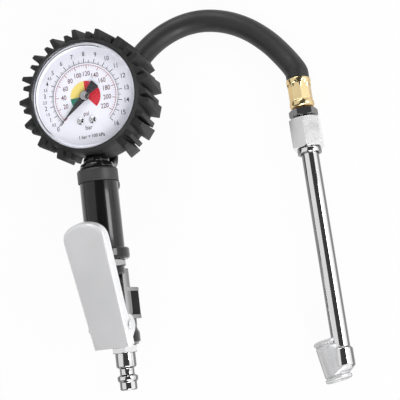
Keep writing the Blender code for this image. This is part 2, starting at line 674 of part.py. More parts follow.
def make_valve(handle):
    """Cast valve body with its ribs and rear housing, and the pin, seat seal, spring and plug in it."""
    body = turned(
        "valve_body",
        [(0, -84.0), (7.2, -84.0), (8.0, -84.8), (8.0, -86.0), (7.2, -86.0), (7.2, -88.2), (8.0, -88.2),
         (8.0, BODY_TOP), (9.8, BODY_TOP), (9.8, -103.6), (8.8, -104.6), (0, -104.6)],
        "black_casting", handle, steps=20,
    )
    core = extruded(
        "body_core",
        rounded([(-9.3, -101.0), (5.8, -101.0), (6.2, -127.0), (7.2, -134.0), (5.0, -139.0), (-2.0, -140.6),
                 (-9.0, -141.0), (-15.6, -138.0), (-16.6, -128.5), (-10.4, -121.0)], 1.4, 1),
        13.4, None, handle, rotation=SIDE_VIEW, bevel=0.9, round_steps=1,
    )
    rib = arc((-5.6, -125.7), 3.8, 180, 360, 8) + [(-1.8, -101.2), (-9.4, -101.2)]
    ribs = extruded("body_side_ribs", rib, 16.6, None, handle, rotation=SIDE_VIEW, bevel=0.4, round_steps=1)
    flare = turned(
        "inlet_boss",
        [(0, -126.0), (6.2, -126.0), (6.8, -130.5), (8.9, -136.6), (9.8, -138.4), (9.8, -143.3),
         (9.2, BODY_FOOT), (0, BODY_FOOT)],
        None, handle, (0, INLET_BACK, 0), steps=20,
    )
    plate = rounded([(-7.4, 4.0), (7.4, 4.0), (7.4, 20.3), (-7.4, 20.3)], 2.6, 2)
    plates = [
        extruded("housing_plate_%d" % i, plate, 2.4, None, handle, (0, 0, level), bevel=0.4, round_steps=1)
        for i, level in enumerate((-113.3, -129.2))
    ]
    housing = rod("valve_housing", 6.6, 19.8, 4.0, None, handle, (0, 0, VALVE_LEVEL), TO_BACK, steps=18)
    guide = turned("pin_guide", [(0, 7.8), (4.4, 7.8), (5.2, 7.0), (5.2, 0), (0, 0)], None, handle,
                   (0, 0, VALVE_LEVEL), TO_FRONT, steps=16)
    pivot = rod("pivot_boss", 4.6, 10.6, -10.6, None, handle, (0, -PIVOT_FRONT, PIVOT_LEVEL), ALONG_X,
                steps=16)
    join(body, core, ribs, flare, *plates, housing, guide, pivot)
    cut(body,
        bore("tube_air_bore", [(4.0, -80, -117.0)], handle, steps=12),
        bore("valve_bore", [(1.9, 12.0, 3.0), (2.6, 3.0, -4.0), (3.9, -4.0, -25.0)], handle,
             (0, 0, VALVE_LEVEL), TO_FRONT),
        bore("inlet_bore", [(2.2, -120.0, -130.5), (4.8, -130.5, -150.0)], handle, (0, INLET_BACK, 0)),
        bore("pivot_bore", [(2.1, 14.0, -14.0)], handle, (0, -PIVOT_FRONT, PIVOT_LEVEL), ALONG_X, steps=12))
    ring("body_seal", 8.5, 0.9, "seal_rubber", handle, -87.1)

    axis = add_empty("valve_axis", handle, (0, 0, VALVE_LEVEL), TO_FRONT)
    turned(
        "valve_pin",
        [(0, 11.1), (0.9, 10.85), (1.5, 10.0), (1.5, -5.7), (3.0, -5.7), (3.0, -6.9), (1.5, -6.9),
         (1.5, -12.0), (0, -12.0)],
        "satin_steel", axis, steps=12,
    )
    turned("valve_seat_seal", ring_profile(1.8, 3.4, -4.3, -5.4), "seal_rubber", axis, steps=12)
    swept("valve_spring", helix(2.7, -7.5, -17.6, 5.0), 0.35, "satin_steel", axis, resolution=0)
    plug = rod("valve_plug_shank", 3.6, -18.2, -20.6, None, axis)
    join(hexagon("valve_plug", 9.0, -20.6, -22.0, "chrome", axis), plug)


def make_inlet(handle):
    """Chrome inlet nipple for the air line, with its seal."""
    axis = add_empty("inlet_axis", handle, (0, INLET_BACK, 0))
    turned("inlet_seal", ring_profile(4.9, 8.6, -144.3, -144.9), "seal_rubber", axis, steps=18)
    nipple = hexagon("inlet_nipple", 14.0, -145.2, -149.5, "chrome", axis)
    barrel = turned(
        "nipple_barrel",
        [(0, -134.0), (4.4, -134.0), (4.4, -149.0), (5.9, -149.0), (5.9, -157.2), (5.4, -157.7),
         (4.25, -158.4), (4.25, -161.8), (6.0, -162.9), (6.0, -165.0), (5.0, -166.2), (5.0, -170.2),
         (4.5, INLET_TIP), (0, INLET_TIP)],
        None, axis, steps=20,
    )
    join(nipple, barrel)
    cut(nipple, bore("nipple_bore", [(2.7, -130, -175)], axis, steps=12))


def lever_outline(inset=0.0, foot=LEVER_FOOT):
    """Outline of the lever's face, drawn in by the inset: straight sides that open upward to a round end."""
    shoulder = LEVER_HALF_SHOULDER - inset
    half_foot = LEVER_HALF_FOOT - inset
    rise = LEVER_TIP - inset - LEVER_SHOULDER
    points = [(half_foot, foot)]
    for i in range(13):
        angle = math.pi * i / 12
        points.append((shoulder * math.cos(angle), LEVER_SHOULDER + rise * math.sin(angle) ** 0.8))
    return points + [(-half_foot, foot)]


def make_lever(handle):
    """Sheet-metal lever: a channel with a round end, ears on the pivot, its pin and the pin's clip."""
    pivot = add_empty("lever_pivot", handle, (0, -PIVOT_FRONT, PIVOT_LEVEL), (LEVER_RISE, 0.0, 0.0))
    middle = LEVER_FACE - LEVER_DEPTH / 2
    lever = extruded("lever", lever_outline(), LEVER_DEPTH, "satin_steel", pivot, (0, -middle, 0),
                     TO_FRONT, bevel=0.8, round_steps=2)
    ears = [extruded("ear_%d" % side, ear_outline(), SHEET, None, pivot,
                     (side * 11.6, 0, 0), SIDE_VIEW) for side in (-1, 1)]
    hollow = extruded("lever_hollow", lever_outline(SHEET, LEVER_FOOT - 4.0), LEVER_DEPTH, None, pivot,
                      (0, -middle + SHEET, 0), TO_FRONT, bevel=0.3)
    cut(lever, hollow)
    join(lever, *ears)
    cut(lever, bore("lever_pin_hole", [(2.1, 16, -16)], pivot, rotation=ALONG_X, steps=12))
    turned(
        "lever_pin",
        [(0, 13.6), (2.5, 13.5), (2.9, 13.1), (2.9, 12.8), (1.8, 12.8), (1.8, -12.9), (1.2, -12.9),
         (1.2, -13.7), (1.8, -13.7), (1.8, -14.3), (0, -14.4)],
        "satin_steel", handle, (0, -PIVOT_FRONT, PIVOT_LEVEL), ALONG_X, steps=12,
    )
    clip = arc((0, 0), 3.3, 40, 320, 14) + arc((0, 0), 1.5, 320, 40, 14)
    extruded("pin_clip", clip, 0.5, "satin_steel", handle, (-13.3, -PIVOT_FRONT, PIVOT_LEVEL), ALONG_X)


def ear_outline():
    """Side view of an ear, with the front at +x: a plate that widens to a round about the pivot."""
    front = LEVER_FACE - 1.6
    return [(front, LEVER_FOOT + 1.4), (front, 14.0), (1.2, 14.0)] + arc((0, 0), 6.0, 100, 250, 10)


def make_hose(table, port):
    """Hose with a crimped ferrule and a hex at each end."""
    hexagon("port_nut", 16.0, 14.4, 8.9, "chrome", port)
    shank = rod("port_nut_shank", 4.2, 10.0, 3.0, None, port, steps=12)
    join(bpy.data.objects["port_nut"], shank)
    cut(bpy.data.objects["port_nut"], bore("port_nut_bore", [(2.4, 18, 0)], port, steps=10))
    ferrule("port_ferrule", port, 31.3, 14.7)
    route = smooth_route(HOSE_ROUTE, HOSE_STEPS)
    swept("hose", route, HOSE_RADIUS, "hose_rubber", table, resolution=2)


def ferrule(name, parent, top, foot):
    """Crimped brass sleeve with eight flutes, on the hose's end."""
    sleeve = turned(
        name,
        [(0, top), (6.9, top), (7.15, top - 0.3), (7.15, top - 1.6), (7.0, top - 2.2), (7.0, foot + 3.6),
         (7.2, foot + 2.8), (7.0, foot + 0.9), (6.2, foot), (0, foot)],
        "brass", parent, steps=18,
    )
    low, high = foot + 3.8, top - 2.8
    flute = rounded([(-2.1, low), (2.1, low), (2.1, high), (-2.1, high)], 0.9, 1)
    flutes = [
        extruded("%s_flute_%d" % (name, i), flute, 2.0, None, parent,
                 (*polar(7.6, 45.0 * i + 22.5), 0), (math.pi / 2, 0, math.radians(45.0 * i + 112.5)))
        for i in range(8)
    ]
    cut(sleeve, *flutes)
    return sleeve


def smooth_route(points, steps):
    """A smooth curve through the route's points, read at even steps between them."""
    route = []
    last = len(points) - 1
    for i in range(last):
        a, b, c, d = (Vector(points[min(max(k, 0), last)]) for k in (i - 1, i, i + 1, i + 2))
        for step in range(steps):
            t = step / steps
            route.append(tuple(0.5 * (2 * b + (c - a) * t + (2 * a - 5 * b + 4 * c - d) * t ** 2
                                      + (3 * b - a - 3 * c + d) * t ** 3)))
    return route + [points[last]]


def make_arm(table):
    """Arm between the hose and the chuck: nut, seal ring, hex coupling, collar and chrome tube."""
    arm = add_empty("arm_frame", table, ARM_POINT, (-math.pi / 2, 0.0, ARM_TURN))
    ferrule("arm_ferrule", arm, 24.9, 6.8)
    nut = hexagon("arm_nut", 16.0, 6.5, 1.5, "chrome", arm)
    join(nut, rod("arm_nut_shank", 4.2, 3.0, -5.0, None, arm, steps=12))
    cut(nut, bore("arm_nut_bore", [(2.4, 9, -8)], arm, steps=10))
    turned("arm_seal", ring_profile(4.6, 7.4, 1.2, 0.3), "seal_rubber", arm, steps=16)
    coupling_frame = add_empty("coupling_frame", arm, rotation=(0, 0, math.pi / 2))
    coupling = hexagon("hex_coupling", 17.0, 0.0, -18.8, "chrome", coupling_frame)
    stages = [(4.5, 2, -6.0), (2.4, -6.0, -16.0), (TUBE_R + GAP, -16.0, -22)]
    cut(coupling, bore("coupling_bore", stages, arm))
    turned("tube_collar", ring_profile(TUBE_R + GAP, 7.0, -19.1, -21.9, 0.5), "chrome", arm, steps=20)
    tube = turned(
        "chrome_tube",
        [(0, -16.3), (TUBE_R, -16.3), (TUBE_R, TUBE_END), (2.0, TUBE_END), (2.0, TUBE_END - 3.0),
         (0, TUBE_END - 3.0)],
        "chrome", arm, steps=18,
    )
    cut(tube, bore("tube_bore", [(1.4, -10, -145)], arm, steps=10))
    make_chuck(table, arm)


def make_chuck(table, arm):
    """Double-ended chuck: a turned body with a mouth at each end and a socket for the tube at its side."""
    chuck = add_empty("chuck_frame", table, CHUCK_POINT, (-math.pi / 2, 0.0, CHUCK_TURN))
    upper = [(4.2, 3.0), (4.2, CHUCK_HALF - 0.6), (4.8, CHUCK_HALF), (7.1, CHUCK_HALF), (RIM_RADIUS, 11.0),
             (RIM_RADIUS, 9.7), (6.8, 9.3), (6.8, 8.7), (CHUCK_RADIUS, 8.2)]
    profile = [(1.8, 3.0)] + upper + [(x, -z) for x, z in reversed(upper)] + [(1.8, -3.0), (1.8, 3.0)]
    body = turned("chuck_body", profile, "chrome", chuck, steps=20)
    socket = turned(
        "chuck_socket",
        [(0, TUBE_END - GAP), (5.1, TUBE_END - GAP), (5.3, TUBE_END - 0.6), (5.3, -132.4), (6.2, -132.7),
         (SOCKET_RADIUS, -133.6), (SOCKET_RADIUS, -144.0), (5.6, -148.0), (3.4, -150.0), (0, -150.0)],
        None, arm, steps=18,
    )
    cut(socket, bore("mouth_clearance", [(4.2, 20.0, -20.0)], chuck, steps=20))
    join(body, socket)
    cut(body, bore("socket_bore", [(2.3, TUBE_END + 2.0, TUBE_END - 3.4)], arm))
    for side, sign in (("upper", 1), ("lower", -1)):
        end = add_empty("chuck_%s_end" % side, chuck, rotation=(0.0 if sign > 0 else math.pi, 0.0, 0.0))
        turned("chuck_seal_" + side, ring_profile(1.7, 3.9, 5.8, 3.3, 0.4), "seal_rubber", end, steps=16)
        turned("chuck_pin_" + side, [(0, 6.4), (0.9, 6.3), (1.2, 5.9), (1.2, 1.4), (0, 1.4)], "brass", end,
               steps=10)


def build():
    """Set up the frames and make every part."""
    table = add_empty("table_frame", None, (LAYOUT_X, LAYOUT_Y, 0.0))
    lying = add_empty("lying_frame", table, (0, 0, GAUGE_HEIGHT), (TILT - math.pi / 2, 0.0, 0.0))
    gauge = add_empty("gauge_frame", lying, rotation=(math.pi / 2, 0.0, 0.0))
    handle = add_empty("handle_frame", lying, (0, HANDLE_DEPTH, 0), (0.0, 0.0, -HANDLE_TWIST))
    make_boot(gauge)
    make_gauge(gauge)
    port = make_head(gauge, handle)
    make_handle(handle)
    make_bleed(handle)
    make_valve(handle)
    make_inlet(handle)
    make_lever(handle)
    make_hose(table, port)
    make_arm(table)


clear_scene()
PARTS = new_collection("tire_pressure_gauge")
CUTTERS = new_collection("cutters", hidden=True)
MATERIALS = make_materials()
build()
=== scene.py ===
"""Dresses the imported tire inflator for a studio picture: gauge, boot, handle, lever, hose and chuck arm."""

import json
import math

import bmesh
import bpy
from bpy.props import FloatProperty, FloatVectorProperty, IntProperty, PointerProperty
from mathutils import Euler, Matrix, Vector


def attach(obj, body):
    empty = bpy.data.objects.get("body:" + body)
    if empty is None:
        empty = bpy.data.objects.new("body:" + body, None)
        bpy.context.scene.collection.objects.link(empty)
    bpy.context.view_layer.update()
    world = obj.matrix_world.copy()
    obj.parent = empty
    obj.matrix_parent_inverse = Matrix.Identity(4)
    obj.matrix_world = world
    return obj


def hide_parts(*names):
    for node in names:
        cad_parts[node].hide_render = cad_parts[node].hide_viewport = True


bl_info = {
    "name": "Tire inflator dresser",
    "version": (1, 0, 0),
    "blender": (4, 5, 0),
    "location": "View3D > Sidebar > Inflator",
    "description": "Builds the visible pieces of a tire inflator on its packed frame",
    "category": "Object",
}

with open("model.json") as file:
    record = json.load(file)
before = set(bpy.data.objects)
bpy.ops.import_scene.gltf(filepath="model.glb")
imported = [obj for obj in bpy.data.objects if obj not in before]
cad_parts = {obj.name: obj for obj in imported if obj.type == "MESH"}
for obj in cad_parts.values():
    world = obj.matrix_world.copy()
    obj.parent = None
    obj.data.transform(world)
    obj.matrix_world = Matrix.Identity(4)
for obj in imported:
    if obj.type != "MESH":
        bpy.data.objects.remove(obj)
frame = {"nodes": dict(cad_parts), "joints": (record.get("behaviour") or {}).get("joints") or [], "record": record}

MM = 0.001
RECORD = frame["record"]
JOINTS = {joint["name"]: joint for joint in frame["joints"]}
ROOT = "inflator_body"

# ---------------------------------------------------------------- frames, in millimetres


def facing(origin, z, x):
    """A frame in millimetres at a point in metres, from its z direction and a direction near its x."""
    z = Vector(z).normalized()
    y = z.cross(Vector(x)).normalized()
    turn = Matrix((y.cross(z), y, z)).transposed().to_4x4()
    return Matrix.Translation(origin) @ turn @ Matrix.Scale(MM, 4)


def moved(base, x=0.0, y=0.0, z=0.0, turn=(0.0, 0.0, 0.0)):
    """A frame set off from another by millimetres and turned by degrees."""
    return base @ Matrix.Translation((x, y, z)) @ Euler([math.radians(a) for a in turn]).to_matrix().to_4x4()


HANDLE_DEPTH = 13.4
BLEED_LEVEL = -50.5
VALVE_LEVEL = -121.3
PIVOT_LEVEL = -134.0
PIVOT_FRONT = -2.5
INLET_BACK = 9.8
LEVER_RISE = 17.3
ALONG_X = (0, 90, 0)
TO_BACK = (-90, 0, 0)
TO_FRONT = (90, 0, 0)
SIDE_VIEW = (90, 0, -90)

CENTRE = Vector(JOINTS["pointer_turn"]["pos_m"])
GAUGE = facing(CENTRE, -Vector(JOINTS["pointer_turn"]["axis"]), (1, 0, 0))
HANDLE = facing(GAUGE @ Vector((0, 0, -HANDLE_DEPTH)), GAUGE.col[1].xyz,
                -Vector(JOINTS["lever_press"]["axis"]))
LEVER = moved(facing(JOINTS["lever_press"]["pos_m"], HANDLE.col[2].xyz, HANDLE.col[0].xyz),
              turn=(LEVER_RISE, 0, 0))
NECK = moved(GAUGE, y=-32.0, z=-HANDLE_DEPTH, turn=TO_BACK)
BLEED = moved(HANDLE, z=BLEED_LEVEL, turn=TO_BACK)
PIVOT = moved(HANDLE, y=PIVOT_FRONT, z=PIVOT_LEVEL, turn=ALONG_X)
INLET = moved(HANDLE, y=INLET_BACK)
TABLE = Matrix.Translation((CENTRE.x, CENTRE.y, 0.0)) @ Matrix.Scale(MM, 4)
PORT = moved(GAUGE, 3.0, -12.0, -39.0, (-90, 0, -30))
ARM = moved(TABLE, 120.9, -23.4, 9.845, (-90, 0, 2.58))
CHUCK = moved(TABLE, 121.2, -163.8, 7.6, (-90, 0, 12))

# Route of the free hose, in millimetres from the point under the dial's centre
HOSE_ROUTE = (
    (19.1, 19.9, 11.37),
    (20.15, 21.69, 11.56),
    (23.7, 27.3, 10.8),
    (28.3, 33.0, 9.6),
    (33.7, 38.0, 8.5),
    (39.7, 42.1, 7.7),
    (46.3, 45.2, 7.2),
    (53.3, 47.2, 7.0),
    (60.7, 48.0, 7.0),
    (68.1, 47.6, 7.0),
    (75.5, 46.0, 7.0),
    (82.7, 43.4, 7.0),
    (89.5, 39.8, 7.0),
    (95.8, 35.4, 7.0),
    (101.6, 30.2, 7.1),
    (106.8, 24.6, 7.4),
    (111.2, 18.8, 7.9),
    (115.0, 13.2, 8.7),
    (117.8, 8.6, 9.4),
    (119.5, 4.8, 9.75),
    (119.76, 1.9, 9.845),
    (119.9, -0.6, 9.845),
)


# ---------------------------------------------------------------- settings

def size(name, description, default):
    """A length setting in metres, from a default in millimetres."""
    return FloatProperty(name=name, description=description, default=default * MM, min=0.0,
                         subtype="DISTANCE", unit="LENGTH", precision=4)


def tint(name, description, default):
    """A colour setting."""
    return FloatVectorProperty(name=name, description=description, default=default, size=4, min=0.0, max=1.0,
                               subtype="COLOR")


class FinishSettings(bpy.types.PropertyGroup):
    """Colours of the finishes."""

    boot: tint("Boot rubber", "Colour of the moulded boot", (0.017, 0.0165, 0.0175, 1))
    hose: tint("Hose rubber", "Colour of the hose", (0.019, 0.019, 0.0195, 1))
    enamel: tint("Enamel", "Colour of the black castings", (0.007, 0.007, 0.0075, 1))
    plastic: tint("Black plastic", "Colour of the collar and the gauge's case", (0.040, 0.040, 0.042, 1))
    chrome: tint("Chrome", "Colour of the plated fittings", (0.93, 0.93, 0.94, 1))
    steel: tint("Satin steel", "Colour of the pins and screws", (0.93, 0.935, 0.95, 1))
    nickel: tint("Satin nickel", "Colour of the lever and the chuck", (0.90, 0.902, 0.915, 1))
    brass: tint("Brass", "Colour of the hose's ferrules", (0.97, 0.77, 0.42, 1))
    dial: tint("Dial", "Colour of the dial's paint", (0.76, 0.765, 0.81, 1))
    ink: tint("Ink", "Colour of the outer scale", (0.012, 0.012, 0.016, 1))
    figures: tint("Inner figures", "Colour of the inner scale's figures", (0.10, 0.02, 0.025, 1))
    marks: tint("Inner marks", "Colour of the inner scale's marks", (0.28, 0.02, 0.03, 1))
    red: tint("Red", "Colour of the inner scale and the upper zone", (0.58, 0.012, 0.028, 1))
    yellow: tint("Yellow", "Colour of the middle zone", (0.80, 0.64, 0.16, 1))
    green: tint("Green", "Colour of the lower zone", (0.01, 0.20, 0.13, 1))


class BootSettings(bpy.types.PropertyGroup):
    """Sizes of the rubber boot."""

    pairs: IntProperty(name="Lug pairs", description="Pairs of a tall and a short lug", default=17, min=3)
    window: size("Window radius", "Radius of the round opening over the dial", 31.2)
    wall: size("Wall radius", "Radius of the boot's side wall", 34.2)
    tall: size("Tall lug radius", "Radius over the tall lugs", 40.0)
    short: size("Short lug radius", "Radius over the short lugs", 38.0)
    depth: size("Depth", "Depth of the boot from its front rim", 30.5)
    soft: size("Edge radius", "Radius of the lugs' moulded edges", 0.45)


class DialSettings(bpy.types.PropertyGroup):
    """Sizes of the dial, its scales and its pointer."""

    face: size("Dial depth", "Depth of the dial's face behind the boot's rim", 6.4)
    bar_radius: size("Outer scale radius", "Inner radius of the outer scale's marks", 19.9)
    psi_radius: size("Inner scale radius", "Outer radius of the inner scale's marks", 18.6)
    bar_text: size("Outer figure radius", "Radius on which the outer scale's figures stand", 25.1)
    psi_text: size("Inner figure radius", "Radius on which the inner scale's figures stand", 13.3)
    figure: size("Figure height", "Height of the scale's figures", 2.9)
    fan: size("Zone radius", "Radius of the coloured zones", 9.2)
    pointer: size("Pointer length", "Length of the pointer from its hub", 23.5)
    start: FloatProperty(name="Zero angle", description="Direction of the zero mark",
                         default=math.radians(222), subtype="ANGLE", unit="ROTATION")
    sweep: FloatProperty(name="Sweep", description="Angle of the whole scale", default=math.radians(270),
                         subtype="ANGLE", unit="ROTATION")


class HandleSettings(bpy.types.PropertyGroup):
    """Sizes of the handle."""

    tube: size("Tube radius", "Radius of the handle's tube", 11.1)
    collar: size("Collar radius", "Radius of the upper collar", 11.9)
    lower_collar: size("Lower collar radius", "Radius of the lower collar", 13.6)
    nut: size("Nut width", "Width across the flats of the handle's nut", 21.0)
    nipple_hex: size("Nipple width", "Width across the flats of the inlet nipple", 14.0)


class LeverSettings(bpy.types.PropertyGroup):
    """Sizes of the lever."""

    half_foot: size("Half width at the foot", "Half the lever's width at its foot", 11.9)
    half_shoulder: size("Half width at the shoulder", "Half the width where the round end starts", 13.5)
    shoulder: size("Shoulder", "Distance from the pivot to where the round end starts", 52.0)
    tip: size("Tip", "Distance from the pivot to the tip", 62.6)
    foot: size("Foot", "Distance from the pivot down to the foot", 11.2)
    face: size("Face", "Distance from the pivot forward to the face", 5.9)
    depth: size("Depth", "Depth of the lever's folded sides", 5.5)
    sheet: size("Sheet", "Thickness of the lever's sheet", 1.2)


class HoseSettings(bpy.types.PropertyGroup):
    """Sizes of the hose and its ferrules."""

    radius: size("Hose radius", "Radius of the hose", 6.75)
    ferrule: size("Ferrule radius", "Radius of the crimped ferrules", 7.15)
    flute: size("Flute depth", "Depth of the ferrules' pressed flutes", 0.8)
    flutes: IntProperty(name="Flutes", description="Flutes round a ferrule", default=8, min=3)


class ArmSettings(bpy.types.PropertyGroup):
    """Sizes of the arm and its chuck."""

    tube: size("Tube radius", "Radius of the chrome tube", 5.0)
    coupling: size("Coupling width", "Width across the flats of the coupling", 17.0)
    nut: size("Nut width", "Width across the flats of the hose's nuts", 14.6)
    chuck: size("Chuck radius", "Radius of the chuck's body", 7.3)
    chuck_half: size("Half chuck", "Half the length of the chuck's body", 11.5)
    socket: size("Socket radius", "Radius of the boss that takes the tube", 6.2)


class StageSettings(bpy.types.PropertyGroup):
    """Camera and light."""

    lens: FloatProperty(name="Lens", description="Focal length of the camera in millimetres", default=109.43)
    key: FloatProperty(name="Key light", description="Power of the key light in watts", default=5.0)
    fill: FloatProperty(name="Fill light", description="Power of the fill light in watts", default=2.4)
    low: FloatProperty(name="Low light", description="Power of the low light in watts", default=12.0)
    high: FloatProperty(name="High light", description="Power of the high light in watts", default=7.0)
    ambient: FloatProperty(name="Ambient", description="Strength of the studio's ambient light", default=1.0)


SETTINGS = {
    "inflator_finish": FinishSettings,
    "inflator_boot": BootSettings,
    "inflator_dial": DialSettings,
    "inflator_handle": HandleSettings,
    "inflator_lever": LeverSettings,
    "inflator_hose": HoseSettings,
    "inflator_arm": ArmSettings,
    "inflator_stage": StageSettings,
}


# ---------------------------------------------------------------- outlines and shapes

SEAM_TURN = 0.07
SHARP = 35.0


def polar(radius, degrees):
    """A point at a radius and an angle."""
    angle = math.radians(degrees)
    return radius * math.cos(angle), radius * math.sin(angle)


def arc(center, radius, start, end, steps):
    """Points along an arc, both ends included."""
    turns = [start + (end - start) * i / steps for i in range(steps + 1)]
    return [(center[0] + polar(radius, a)[0], center[1] + polar(radius, a)[1]) for a in turns]


def rounded(corners, radius, steps=5):
    """An outline whose corners are rounded."""
    points = []
    for i, corner in enumerate(corners):
        here = Vector(corner)
        before = (Vector(corners[i - 1]) - here).normalized()
        after = (Vector(corners[(i + 1) % len(corners)]) - here).normalized()
        reach = radius / math.tan(before.angle(after) / 2)
        start, end = here + before * reach, here + after * reach
        for step in range(steps + 1):
            t = step / steps
            points.append(tuple(start * (1 - t) ** 2 + here * 2 * t * (1 - t) + end * t ** 2))
    return points


def lathe(profile, steps=64, soft=0.0, offset=0.0):
    """A profile of (radius, height) points spun round z, with its corners softened."""
    bm = bmesh.new()
    closed = profile[0] == profile[-1]
    points = profile[:-1] if closed else profile
    verts = [bm.verts.new((radius, 0.0, height)) for radius, height in points]
    edges = [bm.edges.new(pair) for pair in zip(verts, verts[1:])]
    if closed:
        edges.append(bm.edges.new((verts[-1], verts[0])))
    if soft:
        inner = [v for v in verts if len(v.link_edges) == 2]
        bmesh.ops.bevel(bm, geom=inner, offset=soft, offset_type="OFFSET", segments=3, profile=0.5,
                        affect="VERTICES", clamp_overlap=True, material=-1)
    bmesh.ops.rotate(bm, verts=bm.verts, matrix=Matrix.Rotation(offset, 3, "Z"))
    bmesh.ops.spin(bm, geom=bm.verts[:] + bm.edges[:], axis=(0, 0, 1), angle=math.tau, steps=steps,
                   use_merge=True)
    return pointed_out(bm)


def rod(radius, top, foot, steps=48, soft=0.0, offset=0.0):
    """A plain cylinder about z."""
    return lathe([(0, top), (radius, top), (radius, foot), (0, foot)], steps, soft, offset)


def drill(radius, top, foot, steps=48):
    """A cylinder for cutting, turned a little so that none of its edges meets one of the piece's."""
    return rod(radius, top, foot, steps, offset=SEAM_TURN)


def bush(inner, outer, top, foot, steps=96, soft=0.0):
    """A plain tube about z."""
    return lathe([(inner, top), (outer, top), (outer, foot), (inner, foot), (inner, top)], steps, soft)


def pointed_out(bm):
    """Close a shape's seams and poles and point its faces out."""
    bmesh.ops.remove_doubles(bm, verts=bm.verts, dist=0.0005)
    bmesh.ops.recalc_face_normals(bm, faces=bm.faces)
    return bm


def rings(sections, segments=48, caps=(True, True)):
    """A circle drawn out through sections, each a rule that gives a point for an angle in degrees."""
    bm = bmesh.new()
    turn = bm.verts.layers.float.new("turn")
    verts = bmesh.ops.create_circle(bm, cap_ends=False, radius=1.0, segments=segments)["verts"]
    for vert in verts:
        vert[turn] = math.degrees(math.atan2(vert.co.y, vert.co.x))
    edges = bm.edges[:]
    ends = []
    for number, section in enumerate(sections):
        if number:
            made = bmesh.ops.extrude_edge_only(bm, edges=edges)["geom"]
            verts = [item for item in made if isinstance(item, bmesh.types.BMVert)]
            fresh = set(verts)
            edges = [item for item in made
                     if isinstance(item, bmesh.types.BMEdge) and fresh.issuperset(item.verts)]
        for vert in verts:
            vert.co = section(vert[turn])
        ends.append(edges)
    for wanted, loop in zip(caps, (ends[0], ends[-1])):
        if wanted:
            bmesh.ops.contextual_create(bm, geom=loop)
    return pointed_out(bm)


def circle(radius, height):
    """A round section for rings."""
    return lambda degrees: (*polar(radius, degrees), height)


def slab(outline, thickness, soft=0.0, segments=2):
    """A flat outline drawn out to a thickness about its plane, with rounded edges."""
    bm = bmesh.new()
    face = bm.faces.new([bm.verts.new((x, y, -thickness / 2)) for x, y in outline])
    made = bmesh.ops.extrude_face_region(bm, geom=[face])["geom"]
    raised = [item for item in made if isinstance(item, bmesh.types.BMVert)]
    bmesh.ops.translate(bm, verts=raised, vec=(0, 0, thickness))
    pointed_out(bm)
    if soft:
        soften(bm, soft, segments, 60)
    return bm


def block(size_mm, soft=0.0):
    """A box about its centre, with rounded edges."""
    bm = bmesh.new()
    bmesh.ops.create_cube(bm, size=1.0, matrix=Matrix.Diagonal((*size_mm, 1.0)))
    if soft:
        soften(bm, soft, 2, 60)
    return bm


def soften(bm, width, segments=2, degrees=30.0):
    """Bevel the edges where faces meet at more than an angle."""
    edges = [edge for edge in bm.edges if edge.is_manifold and edge.calc_face_angle() > math.radians(degrees)]
    bmesh.ops.bevel(bm, geom=edges, offset=width, offset_type="OFFSET", segments=segments, profile=0.5,
                    affect="EDGES", clamp_overlap=True, material=-1)
    return bm


def hex_bar(across, top, foot, hole=0.0, shave=0.62):
    """A hexagon bar with a turned chamfer at both ends, with corners on the x axis."""
    flat = across / 2 - 0.12

    def reach(degrees):
        return across / 2 / math.cos(math.radians((degrees + 360.0) % 60.0 - 30.0))

    def side(height, sign):
        def point(degrees):
            out = reach(degrees)
            return (*polar(out, degrees), height - sign * shave * (out - flat))
        return point

    sections = [circle(flat, top), side(top, 1), side(foot, -1), circle(flat, foot)]
    if hole:
        sections = [circle(hole, top)] + sections + [circle(hole, foot), circle(hole, top)]
    return rings(sections, 72, (not hole, not hole))


def at(bm, matrix):
    """A shape set in a frame."""
    bmesh.ops.transform(bm, matrix=matrix, verts=bm.verts)
    return bm


def shift(x=0.0, y=0.0, z=0.0, turn=(0.0, 0.0, 0.0)):
    """A move and turn, as a matrix."""
    return moved(Matrix.Identity(4), x, y, z, turn)


def mesh_of(name, bm):
    """A mesh made from a shape, which is used up."""
    mesh = bpy.data.meshes.new(name)
    bm.to_mesh(mesh)
    bm.free()
    return mesh


def shown(name, data):
    """An object in the scene."""
    obj = bpy.data.objects.new(name, data)
    bpy.context.scene.collection.objects.link(obj)
    return obj


def smoothed(mesh, degrees):
    """Shade a mesh smooth but for edges sharper than an angle."""
    mesh.shade_smooth()
    mesh.set_sharp_from_angle(angle=math.radians(degrees))


def gathered(*shapes):
    """Several shapes as one."""
    whole = bmesh.new()
    for shape in shapes:
        mesh = mesh_of("shape", shape)
        whole.from_mesh(mesh)
        bpy.data.meshes.remove(mesh)
    return whole


def piece(name, bm, place, finish, body=ROOT, replaces=(), sharp=SHARP):
    """A finished piece: its place in its mesh, riding on its body, standing for its CAD nodes."""
    bmesh.ops.transform(bm, matrix=place, verts=bm.verts)
    mesh = mesh_of(name, bm)
    smoothed(mesh, sharp)
    mesh.materials.append(bpy.data.materials[finish])
    obj = shown(name, mesh)
    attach(obj, body)
    if replaces:
        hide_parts(*replaces)
    return obj


def carve(obj, *tools):
    """Cut shapes, given in metres, out of a piece."""
    for bm in tools:
        bmesh.ops.recalc_face_normals(bm, faces=bm.faces)
        mesh = mesh_of("tool", bm)
        tool = shown("tool", mesh)
        cut = obj.modifiers.new("cut", "BOOLEAN")
        cut.operation = "DIFFERENCE"
        cut.solver = "EXACT"
        cut.use_self = True
        cut.object = tool
        bpy.context.view_layer.update()
        graph = bpy.context.evaluated_depsgraph_get()
        result = bpy.data.meshes.new_from_object(obj.evaluated_get(graph))
        obj.modifiers.clear()
        bare = obj.data
        obj.data = result
        result.name = obj.name
        bpy.data.meshes.remove(bare)
        bpy.data.objects.remove(tool)
        bpy.data.meshes.remove(mesh)
    smoothed(obj.data, SHARP)
    return obj


# ---------------------------------------------------------------- finishes

# Painted reflection: the dark colour that plated edges turn to, standing in for dark surroundings mirrored in them
PAINTED_EDGE_REFLECTION = (0.02, 0.02, 0.022, 1)


